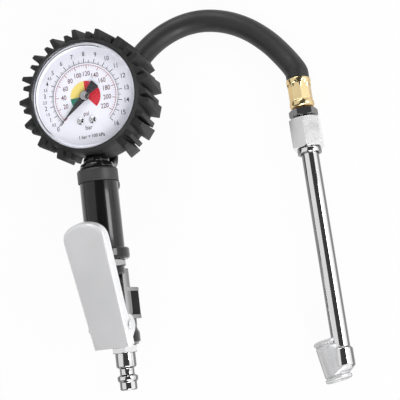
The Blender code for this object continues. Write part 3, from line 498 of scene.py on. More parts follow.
def wire(tree, node, inputs):
    """Set a node's inputs to values or link them to sockets."""
    for name, value in inputs.items():
        if isinstance(value, bpy.types.NodeSocket):
            tree.links.new(value, node.inputs[name])
        else:
            node.inputs[name].default_value = value
    return node


def add(tree, kind, inputs=None, **settings):
    """A new shader node with its settings made and its inputs set or linked."""
    node = tree.nodes.new("ShaderNode" + kind)
    for name, value in settings.items():
        setattr(node, name, value)
    return wire(tree, node, inputs or {})


def mixed(tree, share, first, second):
    """Two colours mixed by a share."""
    return add(tree, "Mix", {"Factor": share, 6: first, 7: second}, data_type="RGBA").outputs[2]


def node_group(name, inputs, output, output_type):
    """An empty shader group. Returns its tree, the sockets of its named inputs and the node of its output."""
    tree = bpy.data.node_groups.new(name, "ShaderNodeTree")
    for label, kind, value in inputs:
        socket = tree.interface.new_socket(name=label, in_out="INPUT", socket_type=kind)
        socket.default_value = value
    tree.interface.new_socket(name=output, in_out="OUTPUT", socket_type=output_type)
    return tree, tree.nodes.new("NodeGroupInput").outputs, tree.nodes.new("NodeGroupOutput")


def noise_in(tree, start, detail=4.0, stretch=None):
    """Noise on Object coordinates inside a group, at the scale of the group's input."""
    where = add(tree, "TexCoord").outputs["Object"]
    if stretch:
        where = add(tree, "Mapping", {"Vector": where, "Scale": stretch}).outputs["Vector"]
    return add(tree, "TexNoise", {"Vector": where, "Scale": start["Scale"], "Detail": detail}).outputs["Fac"]


def spread_noise(tree, start, low, high, **ends):
    """Noise whose middle range, from low to high, is spread between two ends."""
    limits = {"From Min": low, "From Max": high, **{"To " + end: value for end, value in ends.items()}}
    return add(tree, "MapRange", {"Value": noise_in(tree, start), **limits}).outputs["Result"]


def tone_group():
    """Patchy mixture of two near colours."""
    tree, start, end = node_group("Patchy tone", [
        ("Main", "NodeSocketColor", (0.5, 0.5, 0.5, 1)),
        ("Second", "NodeSocketColor", (0.4, 0.4, 0.4, 1)),
        ("Scale", "NodeSocketFloat", 60.0),
    ], "Color", "NodeSocketColor")
    share = spread_noise(tree, start, 0.35, 0.65)
    wire(tree, end, {"Color": mixed(tree, share, start["Main"], start["Second"])})


def sheen_group():
    """Roughness that wanders between two values, as handling leaves it."""
    tree, start, end = node_group("Handled sheen", [
        ("Low", "NodeSocketFloat", 0.2),
        ("High", "NodeSocketFloat", 0.4),
        ("Scale", "NodeSocketFloat", 90.0),
    ], "Roughness", "NodeSocketFloat")
    wire(tree, end, {"Roughness": spread_noise(tree, start, 0.3, 0.7, Min=start["Low"], Max=start["High"])})


def grain_group(name="Moulded grain", stretch=None):
    """Fine surface grain as a bumped normal, drawn out along one way where a stretch is given."""
    tree, start, end = node_group(name, [
        ("Scale", "NodeSocketFloat", 900.0),
        ("Height", "NodeSocketFloat", 0.00002),
    ], "Normal", "NodeSocketVector")
    bump = add(tree, "Bump", {"Height": noise_in(tree, start, 6.0, stretch), "Distance": start["Height"]})
    wire(tree, end, {"Normal": bump.outputs["Normal"]})


def effect(tree, group, **values):
    """The output of a shared effect whose inputs are set to values."""
    return add(tree, "Group", values, node_tree=bpy.data.node_groups[group]).outputs[0]


def node_material(name):
    """A node material, its tree and its shader."""
    material = bpy.data.materials.new(name)
    material.use_nodes = True
    return material, material.node_tree, material.node_tree.nodes["Principled BSDF"]


def finish(name, main, second, rough, tone_scale=60.0, grain=None, brushed=False, **constants):
    """A material of patchy colour and handled sheen, with grain where its scale and height are given."""
    material, tree, shader = node_material(name)
    wire(tree, shader, {label.replace("_", " ").title().replace("Ior", "IOR"): value
                        for label, value in constants.items()})
    low, high = rough
    wire(tree, shader, {"Base Color": effect(tree, "Patchy tone", Main=main, Second=second, Scale=tone_scale),
                        "Roughness": effect(tree, "Handled sheen", Low=low, High=high)})
    if grain:
        kind = "Brushed grain" if brushed else "Moulded grain"
        wire(tree, shader, {"Normal": effect(tree, kind, Scale=grain[0], Height=grain[1])})
    return material


def paint_edge_reflection(material, start, end, share, dark):
    """Painted reflection: darken a plated finish towards a dark colour where its surface turns away from the eye,
    standing in for the dark surroundings it would mirror.
    """
    tree = material.node_tree
    shader = tree.nodes["Principled BSDF"]
    plain = shader.inputs["Base Color"].links[0].from_socket
    away = add(tree, "LayerWeight", {"Blend": 0.5}).outputs["Facing"]
    spread = add(tree, "MapRange", {"Value": away, "From Min": start, "From Max": end, "To Max": 1.0 - share})
    # The dark colour mixed in here is a painted reflection, not the finish's own colour
    wire(tree, shader, {"Base Color": mixed(tree, spread.outputs["Result"], plain, dark)})


def shades(color, *factors):
    """Lighter or darker shades of a colour."""
    return [(*[min(1.0, channel * factor) for channel in color[:3]], 1.0) for factor in factors]


def lens_finish():
    """Clear moulded lens, which lets the lamps' light through to the dial."""
    _, tree, shader = node_material("Clear lens")
    wire(tree, shader, {"Base Color": (0.97, 0.97, 0.985, 1), "Roughness": 0.03, "IOR": 1.2,
                        "Transmission Weight": 1.0})
    clear = add(tree, "BsdfTransparent", {"Color": (0.93, 0.93, 0.95, 1)})
    shadow = add(tree, "LightPath").outputs["Is Shadow Ray"]
    mix = add(tree, "MixShader", {"Fac": shadow, 1: shader.outputs["BSDF"], 2: clear.outputs["BSDF"]})
    wire(tree, tree.nodes["Material Output"], {"Surface": mix.outputs["Shader"]})


class INFLATOR_OT_finishes(bpy.types.Operator):
    """Make the finishes and give them to the inner parts"""

    bl_idname = "inflator.finishes"
    bl_label = "Make finishes"

    def execute(self, context):
        tint_of = context.scene.inflator_finish
        tone_group()
        sheen_group()
        grain_group()
        grain_group("Brushed grain", (1.0, 0.06, 1.0))
        finish("Boot rubber", *shades(tint_of.boot, 1, 1.5), (0.52, 0.68), 70.0, (1400.0, 0.00006),
               specular_ior_level=0.35)
        finish("Hose rubber", *shades(tint_of.hose, 1, 1.3), (0.42, 0.55), 60.0, (1700.0, 0.00003))
        finish("Seal rubber", *shades(tint_of.hose, 0.6, 1), (0.5, 0.6), 80.0)
        finish("Black enamel", *shades(tint_of.enamel, 1, 1.4), (0.14, 0.24), 60.0, (260.0, 0.00002),
               coat_weight=0.35, coat_roughness=0.08, specular_ior_level=0.4)
        finish("Black plastic", *shades(tint_of.plastic, 1, 1.2), (0.42, 0.52), 60.0, (1500.0, 0.00003))
        finish("Satin steel", *shades(tint_of.steel, 1, 0.94), (0.30, 0.38), 40.0, (1500.0, 0.00001),
               brushed=True, metallic=1.0)
        finish("Soft chrome", *shades(tint_of.chrome, 0.93, 0.89), (0.14, 0.20), 40.0, metallic=1.0)
        finish("Matt black", (0.010, 0.010, 0.011, 1), (0.014, 0.014, 0.015, 1), (0.60, 0.70),
               specular_ior_level=0.12)
        finish("White plastic", (0.82, 0.82, 0.86, 1), (0.76, 0.76, 0.80, 1), (0.35, 0.45))
        finish("Dial paint", *shades(tint_of.dial, 1, 0.97), (0.45, 0.55))
        finish("Pointer black", (0.012, 0.012, 0.014, 1), (0.02, 0.02, 0.022, 1), (0.4, 0.5))
        # Chrome and nut plating get a painted dark reflection at their edges, standing in for dark surroundings
        chrome = finish("Chrome", *shades(tint_of.chrome, 1, 0.95), (0.05, 0.10), 60.0, metallic=1.0)
        paint_edge_reflection(chrome, 0.27, 0.40, 0.20, PAINTED_EDGE_REFLECTION)
        nuts = finish("Nut plating", *shades(tint_of.chrome, 0.58, 0.52), (0.10, 0.16), 50.0, metallic=1.0)
        paint_edge_reflection(nuts, 0.40, 0.60, 0.40, PAINTED_EDGE_REFLECTION)
        nickel = finish("Satin nickel", *shades(tint_of.nickel, 1, 0.96), (0.30, 0.38), 40.0,
                        (1500.0, 0.00001), metallic=0.3)
        # Painted reflection: the nickel turns this grey towards its edges, standing in for dark surroundings
        paint_edge_reflection(nickel, 0.60, 0.78, 0.55, (0.40, 0.40, 0.41, 1))
        plating = finish("Chuck plating", *shades(tint_of.nickel, 0.83, 0.77), (0.34, 0.42), 50.0,
                         metallic=0.4)
        # Painted reflection: the chuck plating darkens towards its edges, standing in for dark surroundings
        paint_edge_reflection(plating, 0.50, 0.80, 0.35, (0.12, 0.12, 0.125, 1))
        brass = finish("Brass", *shades(tint_of.brass, 1, 0.92), (0.16, 0.24), 90.0, metallic=1.0)
        # Painted reflection: the brass turns dark brown towards its edges, standing in for dark surroundings
        paint_edge_reflection(brass, 0.30, 0.60, 0.45, (0.38, 0.19, 0.03, 1))
        inks = {"Ink": tint_of.ink, "Figure ink": tint_of.figures, "Mark ink": tint_of.marks,
                "Red ink": tint_of.red, "Yellow ink": tint_of.yellow, "Green ink": tint_of.green}
        for label, color in inks.items():
            finish(label, *shades(color, 1, 0.92), (0.45, 0.55))
        lens_finish()
        self.dress_nodes()
        return {"FINISHED"}

    def dress_nodes(self):
        """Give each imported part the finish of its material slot."""
        looks = {"boot_rubber": "Boot rubber", "hose_rubber": "Hose rubber", "seal_rubber": "Seal rubber",
                 "black_casting": "Black enamel", "black_plastic": "Black plastic", "chrome": "Chrome",
                 "satin_steel": "Satin steel", "brass": "Brass", "white_plastic": "White plastic",
                 "dial_white": "Dial paint", "pointer_black": "Pointer black", "clear_lens": "Clear lens"}
        for part in RECORD["subparts"]:
            node = frame["nodes"][part["node"]]
            node.data.materials.clear()
            node.data.materials.append(bpy.data.materials[looks[part["material_slot"]]])


# ---------------------------------------------------------------- gauge

LUG_ROOT = 33.2
LUG_FRONT = -1.6
LUG_BACK = -28.9
LUG_FALL = 0.4
NECK_CLEAR = 21.0


def tall_lug(side, outer, back, top):
    """Angle, radius and height of a tall lug's corner at a side, root or top, and back or front."""
    if not outer and back:
        return (9.2, -2.3)[side], LUG_ROOT, LUG_BACK
    if not outer:
        return (10.6, 3.0)[side], LUG_ROOT, LUG_FRONT
    if back:
        return (9.0, -1.3)[side], top, LUG_BACK
    return (10.0, 6.5)[side], top - LUG_FALL, LUG_FRONT - 0.5


def short_lug(side, outer, back, top):
    """Corner of a short lug, as for a tall one."""
    if not outer and back:
        return (-5.9, -11.3)[side], LUG_ROOT, LUG_BACK
    if not outer:
        return (-2.4, -9.2)[side], LUG_ROOT, LUG_FRONT
    if back:
        return (-6.5, -11.2)[side], top, LUG_BACK
    return (-2.9, -6.3)[side], top - LUG_FALL, LUG_FRONT - 0.5


def lug(turn, corner, top, soft):
    """One lug of the boot, drawn out of a cube and softened."""
    bm = bmesh.new()
    bmesh.ops.create_cube(bm, size=2.0)
    for vert in bm.verts:
        degrees, radius, height = corner(int(vert.co.x > 0), vert.co.y > 0, vert.co.z < 0, top)
        vert.co = (*polar(radius, degrees + turn), height)
    pointed_out(bm)
    return soften(bm, soft, 2, 20)


class INFLATOR_OT_boot(bpy.types.Operator):
    """Model the rubber boot with its lugs"""

    bl_idname = "inflator.boot"
    bl_label = "Model boot"

    def execute(self, context):
        boot = context.scene.inflator_boot
        window, wall, depth = boot.window / MM, boot.wall / MM, boot.depth / MM
        cavity = 32.2
        cup = lathe([(6.0, -28.7), (cavity, -28.7), (cavity, -1.6), (window, -1.6), (window, -0.4),
                     (window + 0.4, 0.0), (32.0, -0.1), (33.6, -1.9), (wall, -6.0), (wall, -29.4),
                     (32.8, -depth), (6.0, -depth), (6.0, -28.7)], 136, soft=0.35)
        step = 360.0 / boot.pairs
        shapes = [cup]
        for pair in range(boot.pairs):
            for corner, top, middle in ((tall_lug, boot.tall / MM, 5.0), (short_lug, boot.short / MM, -7.0)):
                turn = (step * pair + middle + 90.0) % 360.0
                if min(turn, 360.0 - turn) > NECK_CLEAR:
                    shapes.append(lug(step * pair, corner, top, boot.soft / MM))
        obj = piece("moulded_boot", gathered(*shapes), GAUGE, "Boot rubber",
                    replaces=("rubber_boot",), sharp=40)
        carve(obj, at(drill(6.2, 12, -12), NECK))
        return {"FINISHED"}


FULL_BAR = 16
FULL_PSI = 220
PSI_PER_BAR = 14.5038
PRINT = 0.06
CAPITAL_SHARE = 0.72
BOLDER = 0.035


def mark(start, end, width, degrees, height):
    """A printed mark between two radii."""
    bm = bmesh.new()
    bmesh.ops.create_cube(bm, size=1.0, matrix=Matrix.Translation(((start + end) / 2, 0, height))
                          @ Matrix.Diagonal((abs(end - start), width, PRINT, 1.0)))
    bmesh.ops.rotate(bm, verts=bm.verts, matrix=Matrix.Rotation(math.radians(degrees), 3, "Z"))
    return bm


def band(inner, outer, start, end, height):
    """A printed band along an arc."""
    steps = max(2, int(abs(end - start) / 4))
    outline = arc((0, 0), outer, start, end, steps) + arc((0, 0), max(inner, 0.01), end, start, steps)
    return at(slab(outline, PRINT), Matrix.Translation((0, 0, height)))


def direction(dial, bar):
    """Direction of a pressure on the dial, in degrees."""
    return math.degrees(dial.start) - math.degrees(dial.sweep) / FULL_BAR * bar


def figure(text, height_mm, x, y, level, width):
    """A printed figure about a point."""
    curve = bpy.data.curves.new("figure", "FONT")
    curve.body = text
    curve.size = height_mm / CAPITAL_SHARE
    curve.align_x = "CENTER"
    curve.align_y = "CENTER"
    curve.extrude = PRINT / 2
    curve.offset = BOLDER
    curve.resolution_u = 3
    holder = shown("figure", curve)
    bpy.context.view_layer.update()
    mesh = bpy.data.meshes.new_from_object(holder.evaluated_get(bpy.context.evaluated_depsgraph_get()))
    bm = bmesh.new()
    bm.from_mesh(mesh)
    bmesh.ops.transform(bm, matrix=Matrix.Translation((x, y, level)) @ Matrix.Diagonal((width, 1, 1, 1)),
                        verts=bm.verts)
    bpy.data.meshes.remove(mesh)
    bpy.data.objects.remove(holder)
    bpy.data.curves.remove(curve)
    return bm


class INFLATOR_OT_dial(bpy.types.Operator):
    """Model the dial with its printed scales, its screws and its lens"""

    bl_idname = "inflator.dial"
    bl_label = "Model dial"

    def execute(self, context):
        dial = context.scene.inflator_dial
        face = -dial.face / MM
        piece("painted_dial", bush(1.9, 30.6, face, face - 0.6), GAUGE, "Dial paint",
              replaces=("dial_plate",))
        self.scales(dial, face + PRINT / 2)
        self.zones(dial, face + PRINT / 2)
        self.screws(face)
        spacer = lathe([(29.9, -3.9), (30.8, -3.9), (30.8, -6.1), (29.1, -6.1), (29.9, -3.9)], 96)
        piece("white_spacer", spacer, GAUGE, "White plastic", replaces=("dial_spacer",))
        case = lathe([(6.0, -27.4), (31.1, -27.4), (31.1, -3.6), (31.9, -3.6), (31.9, -27.4), (31.1, -28.2),
                      (6.0, -28.2), (6.0, -27.4)], 96, soft=0.15)
        shell = piece("gauge_shell", case, GAUGE, "Black plastic", replaces=("gauge_case",))
        carve(shell, at(drill(5.6, 12, -12), NECK))
        glass = lathe([(0, -0.2), (27.5, -0.4), (30.6, -0.9), (30.8, -1.9), (31.7, -1.9), (31.7, -3.3),
                       (29.7, -3.3), (28.9, -2.1), (0, -2.0)], 96, soft=0.25)
        piece("window_lens", glass, GAUGE, "Clear lens", replaces=("lens",))
        return {"FINISHED"}

    def scales(self, dial, level):
        """Outer and inner scale with their figures and lines."""
        first, last = direction(dial, 0), direction(dial, FULL_BAR)
        outer, inner = dial.bar_radius / MM, dial.psi_radius / MM
        black = [band(outer - 0.16, outer + 0.10, last, first, level)]
        red = [band(inner - 0.10, inner + 0.16, last + 2, first, level)]
        dark = []
        for tenth in range(10 * FULL_BAR + 1):
            bar = tenth / 10.0
            if tenth % 10 == 0:
                length, width = 2.6, 0.40
            elif tenth % 5 == 0:
                length, width = 1.7, 0.26
            elif tenth % 2 == 0 or bar < 5:
                length, width = 1.0, 0.14
            else:
                continue
            black.append(mark(outer, outer + length, width, direction(dial, bar), level))
        for psi in range(0, FULL_PSI + 1, 4):
            length, width = (2.2, 0.36) if psi % 20 == 0 else (1.0, 0.15)
            red.append(mark(inner - length, inner, width, direction(dial, psi / PSI_PER_BAR), level))
        for bar in [half / 2 for half in range(10)] + list(range(5, FULL_BAR + 1)):
            share = 0.95 if bar == int(bar) else 0.62
            x, y = polar(dial.bar_text / MM, direction(dial, bar))
            black.append(figure("%g" % bar, dial.figure / MM * share, x, y, level, 0.82))
        for psi in range(20, FULL_PSI + 1, 20):
            x, y = polar(dial.psi_text / MM, direction(dial, psi / PSI_PER_BAR))
            dark.append(figure("%d" % psi, dial.figure / MM, x, y, level, 0.80))
        dark.append(figure("psi", 2.6, -0.6, -10.2, level, 0.9))
        black.append(figure("bar", 2.6, 0.1, -18.6, level, 0.9))
        black.append(figure("1 bar = 100 kPa", 2.0, 1.2, -23.8, level, 0.9))
        piece("outer_scale", gathered(*black), GAUGE, "Ink")
        piece("inner_scale", gathered(*red), GAUGE, "Mark ink")
        piece("inner_figures", gathered(*dark), GAUGE, "Figure ink")

    def zones(self, dial, level):
        """Coloured zones about the pointer's axis."""
        for label, low, high in (("Green", 0.0, 2.4), ("Yellow", 2.4, 7.75), ("Red", 7.75, FULL_BAR)):
            zone = band(1.9, dial.fan / MM, direction(dial, high), direction(dial, low), level)
            piece(label.lower() + "_zone", zone, GAUGE, label + " ink")

    def screws(self, face):
        """Cross-head screws of the dial."""
        for side, x, y in (("left", -4.4, -14.2), ("right", 2.9, -14.4)):
            head = lathe([(0, 1.2), (1.3, 1.1), (2.0, 0.8), (2.2, 0.3), (1.0, 0.3), (1.0, -1.8), (0, -1.8)],
                         32, soft=0.12)
            screw = piece("screw_" + side, head, moved(GAUGE, x, y, face), "Chrome",
                          replaces=("dial_screw_" + side,))
            for turn in (25, 115):
                carve(screw, at(block((2.8, 0.55, 1.0)), moved(GAUGE, x, y, face + 1.15, (0, 0, turn))))


class INFLATOR_OT_pointer(bpy.types.Operator):
    """Model the pointer and its hub"""

    bl_idname = "inflator.pointer"
    bl_label = "Model pointer"

    def execute(self, context):
        dial = context.scene.inflator_dial
        axis = moved(GAUGE, turn=(0, 0, math.degrees(dial.start)))
        upper = [(dial.pointer / MM, 0.12), (16.0, 0.42)] + arc((0, 0), 3.0, 42, 150, 12)
        upper += [(-9.0, 3.0), (-9.6, 2.4)]
        outline = upper + [(x, -y) for x, y in reversed(upper)]
        blade = at(slab(outline, 0.4, 0.1, 1), Matrix.Translation((0, 0, -4.7)))
        needle = piece("pointer_blade", blade, axis, "Pointer black", "pointer_body",
                       ("pointer",))
        carve(needle, at(rod(1.3, 3, -8, 32), axis))
        hub = lathe([(0, -3.5), (0.45, -3.5), (0.6, -3.75), (2.5, -3.75), (2.7, -4.2), (1.0, -4.2),
                     (1.0, -17.4), (0, -17.4)], 48, soft=0.08)
        piece("pointer_cap", hub, axis, "Nut plating", "pointer_body", ("pointer_hub",))
        return {"FINISHED"}


# ---------------------------------------------------------------- handle

class INFLATOR_OT_handle(bpy.types.Operator):
    """Model the neck, collars, tube and nut of the handle"""

    bl_idname = "inflator.handle"
    bl_label = "Model handle"

    def execute(self, context):
        grip = context.scene.inflator_handle
        self.head()
        tube, collar, low = grip.tube / MM, grip.collar / MM, grip.lower_collar / MM
        ring = lathe([(7.9, -42.4), (10.9, -42.4), (11.5, -42.7), (collar, -43.5), (collar, -50.2),
                      (11.4, -50.2), (11.4, -46.5), (7.9, -46.5), (7.9, -42.4)], 72, soft=0.4)
        boss = at(rod(4.85, 17.0, 8.4, soft=0.5), shift(z=BLEED_LEVEL, turn=TO_BACK))
        upper = piece("neck_collar", gathered(ring, boss), HANDLE, "Black plastic",
                      replaces=("upper_collar",))
        bore = lathe([(0, 20.0), (3.3, 20.0), (3.3, 11.4), (1.6, 11.4), (1.6, 6.0), (0, 6.0)], 32,
                     offset=SEAM_TURN)
        carve(upper, at(bore, BLEED))
        pipe = bush(9.9, tube, -46.8, -92.1, soft=0.15)
        barrel = piece("grip_tube", pipe, HANDLE, "Black enamel", replaces=("handle_tube",))
        carve(barrel, at(drill(5.15, 20, 0), BLEED))
        foot = lathe([(11.4, -89.4), (12.9, -89.4), (low, -90.2), (low, -94.4), (13.2, -95.5), (12.0, -96.1),
                      (8.3, -96.1), (8.3, -92.4), (11.4, -92.4), (11.4, -89.4)], 72, soft=0.35)
        piece("foot_collar", foot, HANDLE, "Black enamel", replaces=("lower_collar",))
        nut = hex_bar(grip.nut / MM, -96.4, -100.1, 8.3)
        piece("grip_nut", nut, HANDLE, "Nut plating", replaces=("hex_nut",))
        return {"FINISHED"}

    def head(self):
        """Neck, the riser behind the gauge and the boss of the hose's port."""
        neck = lathe([(0, -32.6), (5.9, -32.6), (5.9, -34.6), (6.3, -34.9), (7.2, -35.8), (7.6, -37.6),
                      (7.3, -38.2), (9.3, -39.2), (10.0, -41.4), (9.6, -42.1), (7.5, -42.1), (7.5, -57.0),
                      (6.8, -57.0), (6.8, -59.2), (7.5, -59.2), (7.5, -61.4), (6.9, -62.0), (0, -62.0)],
                     72, soft=0.2)
        route = [(0, 17.0, -38.7), (0, 25.0, -38.7)]
        route += [(0, -z, y) for z, y in arc((-31.0, -31.0), 7.7, -95, -170, 10)]
        route += [(0, 39.2, -22.0), (3.0, 39.0, -12.0)]
        riser = tube_along(route, 6.0, 2.9, 24)
        boss = lathe([(0, 8.6), (7.4, 8.6), (8.0, 7.9), (8.0, -5.0), (7.0, -7.4), (4.6, -8.6), (0, -8.6)], 64,
                     soft=0.3)
        gauge_to_handle = HANDLE.inverted() @ GAUGE
        port_to_handle = HANDLE.inverted() @ PORT
        along = Matrix(((1, 0, 0, 0), (0, 0, 1, 0), (0, -1, 0, 0), (0, 0, 0, 1)))
        shapes = gathered(neck, at(riser, gauge_to_handle @ along), at(boss, port_to_handle))
        piece("neck_casting", shapes, HANDLE, "Black enamel", replaces=("head_casting",))


def tube_along(route, half_width, half_height, segments):
    """A round-edged tube of flattened section along a route."""
    points = [Vector(point) for point in route]
    sections = []
    for i, point in enumerate(points):
        ahead = (points[min(i + 1, len(points) - 1)] - points[max(i - 1, 0)]).normalized()
        side = Vector((1, 0, 0))
        lift = ahead.cross(side).normalized()
        sections.append(lambda a, p=point, s=side, l=lift: tuple(p + s * polar(half_width, a)[0]
                                                                 + l * polar(half_height, a)[1]))
    return rings(sections, segments)


class INFLATOR_OT_valve(bpy.types.Operator):
    """Model the valve body with its cover and bracket, and the inlet nipple"""

    bl_idname = "inflator.valve"
    bl_label = "Model valve"

    def execute(self, context):
        top = lathe([(0, -84.0), (7.2, -84.0), (8.0, -84.8), (8.0, -86.0), (7.2, -86.0), (7.2, -88.2),
                     (8.0, -88.2), (8.0, -100.4), (9.8, -100.4), (9.8, -103.6), (8.8, -104.6), (0, -104.6)],
                    64, soft=0.15)
        core = slab(rounded([(-9.3, -101.0), (5.8, -101.0), (6.2, -127.0), (7.2, -134.0), (5.0, -139.0),
                             (-2.0, -140.6), (-9.0, -141.0), (-15.6, -138.0), (-16.6, -128.5),
                             (-10.4, -121.0)], 1.4, 4), 13.4, 0.9, 3)
        rib = slab(arc((-5.6, -125.7), 3.8, 180, 360, 16) + [(-1.8, -101.2), (-9.4, -101.2)], 16.6, 0.4, 2)
        flare = lathe([(0, -126.0), (6.2, -126.0), (6.8, -130.5), (8.9, -136.6), (9.8, -138.4), (9.8, -143.3),
                       (9.2, -144.0), (0, -144.0)], 64, soft=0.3)
        plates = [at(slab(rounded([(-8.6, 4.0), (8.6, 4.0), (8.6, 20.3), (-8.6, 20.3)], 2.6, 5), 2.4, 0.4, 2),
                     shift(z=level)) for level in (-113.3, -129.2)]
        housing = slab(rounded([(-8.0, 4.0), (8.0, 4.0), (8.0, 19.6), (-8.0, 19.6)], 0.8, 3), 14.0, 0.3, 2)
        guide = lathe([(1.9, 7.8), (4.4, 7.8), (5.2, 7.0), (5.2, 0), (1.9, 0), (1.9, 7.8)], 48, soft=0.2)
        pivot = rod(4.6, 10.6, -10.6, soft=0.3)
        side = shift(turn=SIDE_VIEW)
        shapes = gathered(top, at(core, side), at(flare, shift(y=INLET_BACK)),
                          at(guide, shift(z=VALVE_LEVEL, turn=TO_FRONT)),
                          at(pivot, shift(y=PIVOT_FRONT, z=PIVOT_LEVEL, turn=ALONG_X)))
        piece("valve_casting", shapes, HANDLE, "Black enamel", replaces=("valve_body",))
        piece("valve_cover", at(housing, shift(z=VALVE_LEVEL)), HANDLE, "Matt black")
        piece("valve_bracket", gathered(at(rib, side), *plates), HANDLE, "Nut plating")
        self.nipple(context.scene.inflator_handle)
        return {"FINISHED"}

    def nipple(self, grip):
        """Nipple for the air line."""
        bar = hex_bar(grip.nipple_hex / MM, -145.2, -149.5)
        barrel = lathe([(0, -134.0), (4.4, -134.0), (4.4, -149.0), (5.9, -149.0), (5.9, -157.2),
                        (5.4, -157.7), (4.25, -158.4), (4.25, -161.8), (6.0, -162.9), (6.0, -165.0),
                        (5.0, -166.2), (5.0, -170.2), (4.5, -170.8), (2.7, -170.8), (2.7, -150.0),
                        (0, -150.0)], 64, soft=0.18)
        piece("air_nipple", gathered(bar, barrel), INLET, "Chrome", replaces=("inlet_nipple",))


# ---------------------------------------------------------------- lever

CROWN_FULLNESS = 0.8


def lever_outline(lever, inset, foot):
    """Outline of the lever's face, drawn in by an inset."""
    shoulder = lever.half_shoulder / MM - inset
    half_foot = lever.half_foot / MM - inset
    start = lever.shoulder / MM
    rise = lever.tip / MM - inset - start
    sides = [(half_foot + (shoulder - half_foot) * i / 8, foot + (start - foot) * i / 8) for i in range(8)]
    turns = [math.pi * i / 32 for i in range(33)]
    crown = [(shoulder * math.cos(a), start + rise * max(0.0, math.sin(a)) ** CROWN_FULLNESS) for a in turns]
    return sides + crown + [(-x, y) for x, y in reversed(sides)]


def loft(sections, caps=(True, True)):
    """Closed loops of points bridged one to the next."""
    bm = bmesh.new()
    loops = []
    for section in sections:
        verts = [bm.verts.new(point) for point in section]
        loops.append([bm.edges.new(pair) for pair in zip(verts, verts[1:] + verts[:1])])
    for first, second in zip(loops, loops[1:]):
        bmesh.ops.bridge_loops(bm, edges=first + second)
    for wanted, loop in zip(caps, (loops[0], loops[-1])):
        if wanted:
            bmesh.ops.contextual_create(bm, geom=loop)
    return pointed_out(bm)


class INFLATOR_OT_lever(bpy.types.Operator):
    """Model the sheet lever, its pin and its clip"""

    bl_idname = "inflator.lever"
    bl_label = "Model lever"

    def execute(self, context):
        lever = context.scene.inflator_lever
        sheet, depth, foot = lever.sheet / MM, lever.depth / MM, -lever.foot / MM
        stages = [(2.2, 0.0), (1.2, 0.08), (0.55, 0.35), (0.15, 0.85), (0.0, 1.5), (0.0, depth),
                  (sheet, depth), (sheet, 1.9), (sheet + 0.3, 1.35), (sheet + 1.0, sheet)]
        sections = [[(x, y, -drop) for x, y in lever_outline(lever, inset, foot - 3.0)]
                    for inset, drop in stages]
        shell = loft(sections)
        cut = bmesh.ops.bisect_plane(shell, geom=shell.verts[:] + shell.edges[:] + shell.faces[:],
                                     plane_co=(0, foot, 0), plane_no=(0, -1, 0), clear_outer=True)
        rim = [item for item in cut["geom_cut"] if isinstance(item, bmesh.types.BMEdge)]
        bmesh.ops.contextual_create(shell, geom=rim)
        bmesh.ops.recalc_face_normals(shell, faces=shell.faces)
        face = lever.face / MM
        at(shell, shift(y=-face, turn=TO_FRONT))
        reach = face - 1.6
        ear = [(reach, foot + 1.4), (reach, 14.0), (1.2, 14.0)] + arc((0, 0), 6.0, 100, 250, 20)
        ears = [at(slab(ear, sheet, 0.25, 2), shift(x=side * 11.6, turn=SIDE_VIEW)) for side in (-1, 1)]
        obj = piece("press_lever", gathered(shell, *ears), LEVER, "Satin nickel", "lever_body",
                    ("lever",))
        carve(obj, at(drill(2.1, 16, -16, 32), moved(LEVER, turn=ALONG_X)))
        pin = lathe([(0, 13.6), (2.5, 13.5), (2.9, 13.1), (2.9, 12.8), (1.8, 12.8), (1.8, -12.9),
                     (1.2, -12.9), (1.2, -13.7), (1.8, -13.7), (1.8, -14.3), (0, -14.4)], 32, soft=0.1)
        piece("pivot_pin", pin, PIVOT, "Satin steel", replaces=("lever_pin",))
        clip = slab(arc((0, 0), 3.3, 40, 320, 28) + arc((0, 0), 1.5, 320, 40, 28), 0.5)
        piece("retaining_clip", clip, moved(PIVOT, z=-13.3), "Satin steel",
              replaces=("pin_clip",))
        return {"FINISHED"}


# ---------------------------------------------------------------- hose and arm

NUT_TURN = 12.0
FLUTE_TURN = 13.0
FLUTE_ARCH = 2.2
FLUTE_RUN = 0.7
TOP_BAND = 2.0
FOOT_BAND = 3.4
TUBE_END = -139.0
TUBE_MARK = -140.0

# Sections of the chuck's web: height, inset from the tube's axis, radius and share of the way out
WEB_LEVELS = ((8.2, 3.0, 3.4, 1.0), (7.9, 3.0, 4.7, 1.0), (7.2, 3.0, 5.8, 1.0), (6.0, 3.0, 6.5, 1.0),
              (4.4, 3.0, 7.0, 1.0), (-4.8, 3.0, 7.0, 1.0), (-5.1, 0.3, 6.6, 1.0), (-6.4, 0.3, 6.8, 0.85),
              (-7.6, 0.3, 7.0, 0.4), (-8.2, 0.3, 7.2, 0.1))


def smooth_route(points, steps):
    """A smooth curve through the route's points, read at even steps between them."""
    route = []
    last = len(points) - 1
    for i in range(last):
        a, b, c, d = (Vector(points[min(max(k, 0), last)]) for k in (i - 1, i, i + 1, i + 2))
        for step in range(steps):
            t = step / steps
            route.append(0.5 * (2 * b + (c - a) * t + (2 * a - 5 * b + 4 * c - d) * t ** 2
                                + (3 * b - a - 3 * c + d) * t ** 3))
    return route + [Vector(points[last])]


